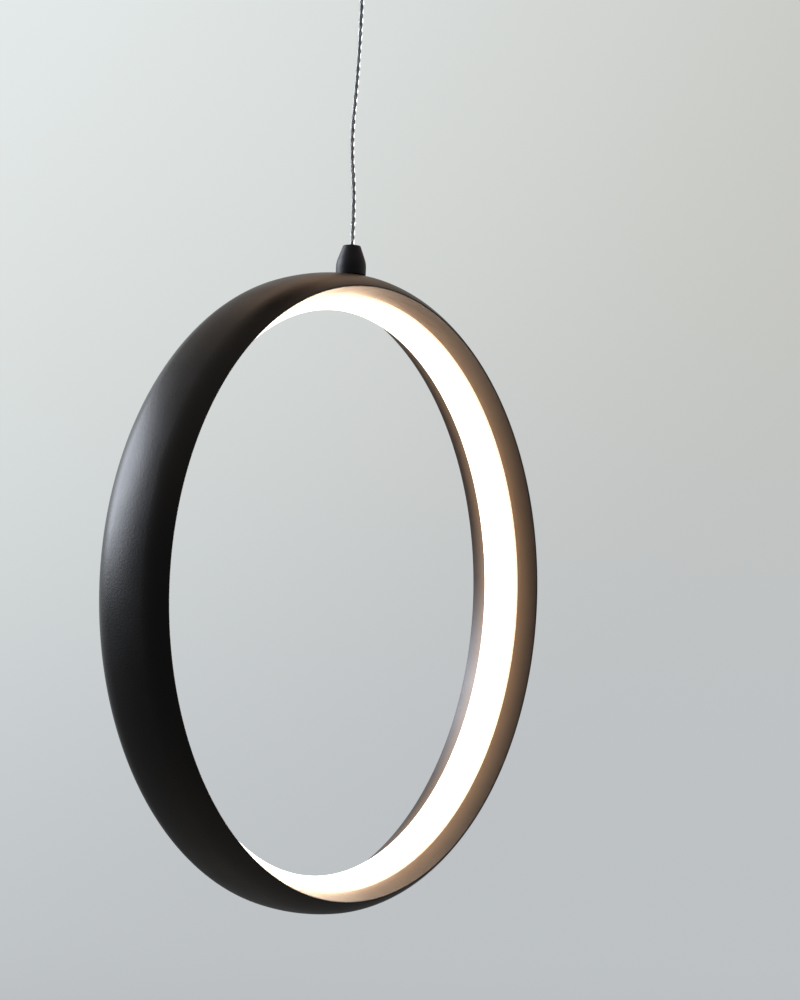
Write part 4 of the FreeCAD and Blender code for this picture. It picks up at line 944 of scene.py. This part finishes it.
class PENDANT_OT_grips(bpy.types.Operator):
    """Makes the bullet-shaped grip on the ring and the same one, turned over, under the canopy"""
    bl_idname = "pendant.grips"
    bl_label = "Cable grips"

    steps = 160

    def execute(self, context):
        scene = context.scene
        sizes = scene.pendant_fittings
        radius = LOWER_GRIP_HIGH.x
        height = LOWER_GRIP_HIGH.z - LOWER_GRIP_LOW.z
        mouth_depth = LOWER_GRIP_HIGH.z - JOINT_PLACES["ring_rock"].z
        outline = grip_outline(sizes, radius, height, scene.pendant_cable.diameter / 2, mouth_depth)
        material = black_moulding(scene.pendant_colours)
        screw_height = sizes.grip_screw_share * height
        for name, foot, flipped, screw, body, replaced in (
                ("grip_on_ring", LOWER_GRIP_LOW.z, False, "lower_grip_screw", "cable_grip", "lower_grip"),
                ("grip_under_canopy", UPPER_GRIP_HIGH.z, True, "upper_grip_screw", "ceiling_fitting",
                 "upper_grip")):
            grip = turned_about_z(name, outline, self.steps, foot, flipped)
            low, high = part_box(screw)
            middle = (low + high) / 2
            start = Vector((0, 0, foot - screw_height if flipped else foot + screw_height))
            outwards = Vector((middle.x, middle.y, 0)).normalized() * 2 * radius
            drill(grip, rod(start, start + outwards, sizes.grip_screw_hole))
            finished(grip, material, body, "grip_black", replaced)
        return {"FINISHED"}


class PENDANT_OT_canopy(bpy.types.Operator):
    """Makes the spun canopy cup, with its cable hole and the two side screw holes"""
    bl_idname = "pendant.canopy"
    bl_label = "Canopy"

    steps = 256

    def execute(self, context):
        scene = context.scene
        sizes = scene.pendant_fittings
        radius = CANOPY_HIGH.x
        drop = CANOPY_LOW.z
        hole = sizes.thread_radius + sizes.play
        inside = radius - sizes.canopy_wall
        cup = turned_about_z("canopy_shell", closed_outline([
            (hole, drop, 0),
            (radius, drop, sizes.canopy_rounding),
            (radius, 0, sizes.canopy_rim),
            (inside, 0, sizes.canopy_rim),
            (inside, drop + sizes.canopy_wall, sizes.canopy_rounding - sizes.canopy_wall),
            (hole, drop + sizes.canopy_wall, 0),
        ]), self.steps)
        reach = 1.1 * radius
        drill(cup, rod((-reach, 0, -sizes.canopy_screw_drop), (reach, 0, -sizes.canopy_screw_drop),
                       sizes.canopy_screw_hole))
        coat = satin_coat("canopy_coat", scene.pendant_colours)
        finished(cup, coat, "ceiling_fitting", "canopy_black", "canopy_cup")
        return {"FINISHED"}


class PENDANT_OT_fittings(bpy.types.Operator):
    """Makes the two threaded nipples and finishes washers, nuts, cable stops and screws"""
    bl_idname = "pendant.fittings"
    bl_label = "Fittings"

    rows_per_pitch = 12
    steps = 72

    def execute(self, context):
        scene = context.scene
        sizes = scene.pendant_fittings
        colours = scene.pendant_colours
        nickel = plated_metal("nickel_plate", colours.nickel, (0.58, 0.53, 0.44), roughness=0.24)
        zinc = plated_metal("zinc_plate", colours.zinc, (0.62, 0.60, 0.50), roughness=0.34)
        black = moulded("black_oxide", (0.02, 0.02, 0.021), (0.035, 0.034, 0.034), roughness=0.38)
        green = moulded("green_paint", (0.05, 0.22, 0.07), (0.07, 0.28, 0.09), roughness=0.35)
        half_pitch = self.rows_per_pitch // 2
        root = sizes.thread_radius - sizes.thread_depth
        for name, body in (("upper_nipple", "ceiling_fitting"), ("lower_nipple", "ring")):
            low, high = (corner.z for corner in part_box(name))
            rows = int((high - low) / sizes.thread_pitch * self.rows_per_pitch)
            thread = np.stack([np.full(rows, sizes.thread_radius), np.linspace(low, high, rows)], -1)
            outline = np.concatenate([[(root, low)], thread[half_pitch:-half_pitch],
                                      [(root, high), (sizes.nipple_bore, high), (sizes.nipple_bore, low)]])
            nipple = turned_about_z("threaded_" + name, outline, self.steps,
                                    thread=(sizes.thread_radius, sizes.thread_pitch, sizes.thread_depth))
            finished(nipple, nickel, body, "plated_brass", name)
        dress(nickel, "plated_brass", "upper_lock_nut", "lower_lock_nut", "upper_cable_stop",
              "lower_cable_stop")
        dress(zinc, "zinc_steel", "mounting_bar", "upper_washer", "lower_washer", "driver_screws",
              "terminal_clamp_screws", "terminal_fixing_screw")
        dress(black, "screw_black", "canopy_screws", "lower_grip_screw", "upper_grip_screw")
        dress(green, "earth_green", "ground_screw")
        return {"FINISHED"}


class PENDANT_OT_light_source(bpy.types.Operator):
    """Finishes the light strip, its chips and resistors, and the wires that feed it"""
    bl_idname = "pendant.light_source"
    bl_label = "Light strip"

    def execute(self, context):
        dress(moulded("strip_board", (0.84, 0.84, 0.81), (0.76, 0.75, 0.70), roughness=0.5),
              "strip_white", "led_strip")
        dress(moulded("led_phosphor", (0.90, 0.68, 0.16), (0.82, 0.56, 0.10), roughness=0.3, peel=0.4 * MM),
              "led_phosphor", "led_chips")
        dress(moulded("resistor_body", (0.03, 0.03, 0.03), (0.06, 0.06, 0.058), roughness=0.35),
              "resistor_black", "strip_resistors")
        grey = moulded("grey_insulation", (0.30, 0.30, 0.31), (0.36, 0.36, 0.37), roughness=0.42,
                       peel=0.5 * MM)
        dress(grey, "lead_grey", "ring_leads", "output_leads")
        return {"FINISHED"}


class PENDANT_OT_driver(bpy.types.Operator):
    """Finishes the driver's case, board and parts, and the tape pad under it"""
    bl_idname = "pendant.driver"
    bl_label = "Driver"

    def execute(self, context):
        dress(moulded("driver_case", (0.74, 0.74, 0.71), (0.68, 0.68, 0.64), roughness=0.42),
              "driver_case", "driver_case_base", "driver_case_lid")
        tape = moulded("foam_tape", (0.70, 0.69, 0.65), (0.58, 0.57, 0.53), roughness=0.85, peel=0.3 * MM,
                       specular=0.2)
        dress(tape, "foam_tape", "driver_pad")
        dress(moulded("solder_mask", (0.03, 0.16, 0.05), (0.05, 0.22, 0.07), roughness=0.25),
              "circuit_board", "driver_board")
        dress(moulded("ferrite_core", (0.055, 0.055, 0.06), (0.09, 0.09, 0.095), roughness=0.6),
              "ferrite", "driver_transformer")
        dress(moulded("shrink_sleeve", (0.03, 0.03, 0.045), (0.05, 0.05, 0.07), roughness=0.28),
              "capacitor_sleeve", "driver_capacitors")
        return {"FINISHED"}


class PENDANT_OT_wiring(bpy.types.Operator):
    """Finishes the terminal block and the wires in the canopy"""
    bl_idname = "pendant.wiring"
    bl_label = "Wiring"

    def execute(self, context):
        dress(moulded("natural_moulding", (0.76, 0.73, 0.64), (0.70, 0.67, 0.57), roughness=0.34),
              "terminal_plastic", "terminal_block")
        white = moulded("white_insulation", (0.78, 0.78, 0.76), (0.70, 0.70, 0.67), roughness=0.42,
                        peel=0.5 * MM)
        dress(white, "lead_white", "input_leads")
        dress(earth_wire(), "lead_green", "ground_lead")
        return {"FINISHED"}


# Stage

LAMP_DISTANCE = 1.8

LAMPS = [
    # name, heading from +X and height over the ring, size, beam, power, colour
    ("window_lamp", 112, 21, (1.6, 1.0), 60, 9.5, (0.84, 0.89, 1.0)),
    ("warm_lamp", 20, 56, (2.0, 1.1), 60, 1.2, (1.0, 0.58, 0.36)),
]

# Where the window lights the wall most, the viewer's side and the window's side: each a direction from the
# ring, and the cosines between which it takes hold
LIT_SPOT = ((0.425, 0.800, 0.423), 0.76, 1.08)
VIEWER_SIDE = ((-0.81, -0.58, 0.0), 0.0, 0.60)
WINDOW_SIDE = ((-0.34, 0.94, 0.0), 0.50, 0.85)

# Sines of the heights between which the wall's lower colour gives way to its upper one, the wall to what is
# overhead, and the wall to what is underneath. On the window's side that last starts higher, by the sill.
WALL_RISE = (-0.10, 0.20)
OVERHEAD_START = (0.27, 0.62)
UNDERNEATH_START = (-0.12, -0.36)
SILL = 0.11


def pointing(tree, direction, target, low, high, most=1.0):
    """From 0 to most, as the cosine between a direction and a target goes from low to high."""
    cosine = vector_node(tree, "DOT_PRODUCT", direction, Vector(target).normalized())
    return between(tree, cosine, low, high, 0.0, most)


class PENDANT_OT_stage(bpy.types.Operator):
    """Makes the pale floor that fades out, the surroundings and the soft lamps"""
    bl_idname = "pendant.stage"
    bl_label = "Stage"

    def execute(self, context):
        scene = context.scene
        self.make_floor(scene.pendant_studio)
        self.make_world(scene, scene.pendant_studio)
        for lamp in LAMPS:
            self.make_lamp(*lamp)
        return {"FINISHED"}

    def make_floor(self, studio):
        """A flat disc of points radius * (cos, sin) of an angle. Its pale surface gives way to the
        surroundings with the distance from its middle."""
        pale, shade = (0.80, 0.80, 0.79), (0.77, 0.77, 0.76)
        rings, sides = 12, 96
        hub_share, past_fade = 0.02, 1.2
        radius = np.linspace(hub_share, 1, rings)[:, None] * past_fade * studio.floor_fade
        angle = around(sides).T
        height = np.full((rings, sides), BAND_LOW.z - studio.floor_drop)
        vertices = np.stack([radius * np.cos(angle), radius * np.sin(angle), height], -1).reshape(-1, 3)
        floor = new_piece("floor", vertices, grid_faces(rings, sides, False), [range(sides)])
        material, tree, shader, place = blank_material("pale_floor", Roughness=0.85, Specular_IOR_Level=0.2)
        patches = between(tree, noise(tree, place, scale=4.0, detail=3.0), *NOISE_SPAN)
        distance = vector_node(tree, "LENGTH", vector_node(tree, "MULTIPLY", place, (1.0, 1.0, 0.0)))
        solid = between(tree, distance, studio.floor_clear, studio.floor_fade, 1.0, 0.0)
        feed(tree, shader, {"Base Color": mixed(tree, patches, pale, shade), "Alpha": solid})
        floor.data.materials.append(material)

    def make_world(self, scene, studio):
        """Plain surroundings: brighter where the window lights the wall, and dim overhead, behind the viewer
        and underneath. Every ray sees the same ones."""
        scene.world = bpy.data.worlds.new("surroundings")
        scene.world.use_nodes = True
        tree = scene.world.node_tree
        direction = node(tree, "ShaderNodeTexCoord").outputs["Generated"]
        height = parts_of(tree, direction)["Z"]
        room = mixed(tree, between(tree, height, *WALL_RISE), studio.lower_wall, studio.upper_wall)
        room = mixed(tree, pointing(tree, direction, *LIT_SPOT), room, studio.bright_wall)
        room = mixed(tree, pointing(tree, direction, *VIEWER_SIDE), room, studio.viewer_wall)
        room = mixed(tree, between(tree, height, *OVERHEAD_START), room, studio.overhead)
        sill = pointing(tree, direction, *WINDOW_SIDE, SILL)
        low = between(tree, math_node(tree, "SUBTRACT", height, sill), *UNDERNEATH_START)
        feed(tree, tree.nodes["Background"], {"Color": mixed(tree, low, room, studio.underneath)})

    def make_lamp(self, name, heading, height, size, beam, power, colour):
        """A soft rectangular lamp that faces the ring's centre, out along its heading and height in degrees.
        Its beam narrows what it lights to the pendant and a part of the floor."""
        data = bpy.data.lights.new(name, "AREA")
        data.shape = "RECTANGLE"
        data.size, data.size_y = size
        data.energy = power
        data.color = colour
        data.spread = math.radians(beam)
        heading, height = math.radians(heading), math.radians(height)
        away = Vector((math.cos(heading) * math.cos(height), math.sin(heading) * math.cos(height),
                       math.sin(height)))
        lamp = new_object(name, data)
        lamp.visible_camera = False
        lamp.location = RING_CENTRE + away * LAMP_DISTANCE
        lamp.rotation_euler = away.to_track_quat("Z", "Y").to_euler()


OPERATORS = [
    PENDANT_OT_camera,
    PENDANT_OT_cable,
    PENDANT_OT_ring_band,
    PENDANT_OT_diffuser,
    PENDANT_OT_grips,
    PENDANT_OT_canopy,
    PENDANT_OT_fittings,
    PENDANT_OT_light_source,
    PENDANT_OT_driver,
    PENDANT_OT_wiring,
    PENDANT_OT_stage,
]


class PENDANT_PT_pieces(bpy.types.Panel):
    """Lists the pieces of the pendant, in the order in which they are made"""
    bl_idname = "PENDANT_PT_pieces"
    bl_label = "Ring Pendant"
    bl_space_type = "VIEW_3D"
    bl_region_type = "UI"
    bl_category = "Ring Pendant"

    def draw(self, context):
        column = self.layout.column(align=True)
        for operator in OPERATORS:
            column.operator(operator.bl_idname)


def register():
    for kind in (*SETTINGS.values(), *OPERATORS, PENDANT_PT_pieces):
        bpy.utils.register_class(kind)
    for name, kind in SETTINGS.items():
        setattr(bpy.types.Scene, name, PointerProperty(type=kind))


def unregister():
    for name in SETTINGS:
        delattr(bpy.types.Scene, name)
    for kind in reversed((*SETTINGS.values(), *OPERATORS, PENDANT_PT_pieces)):
        bpy.utils.unregister_class(kind)


def main():
    register()
    bpy.context.scene.view_settings.view_transform = "Standard"
    for operator in OPERATORS:
        group, name = operator.bl_idname.split(".")
        getattr(getattr(bpy.ops, group), name)()


if __name__ == "__main__":
    main()
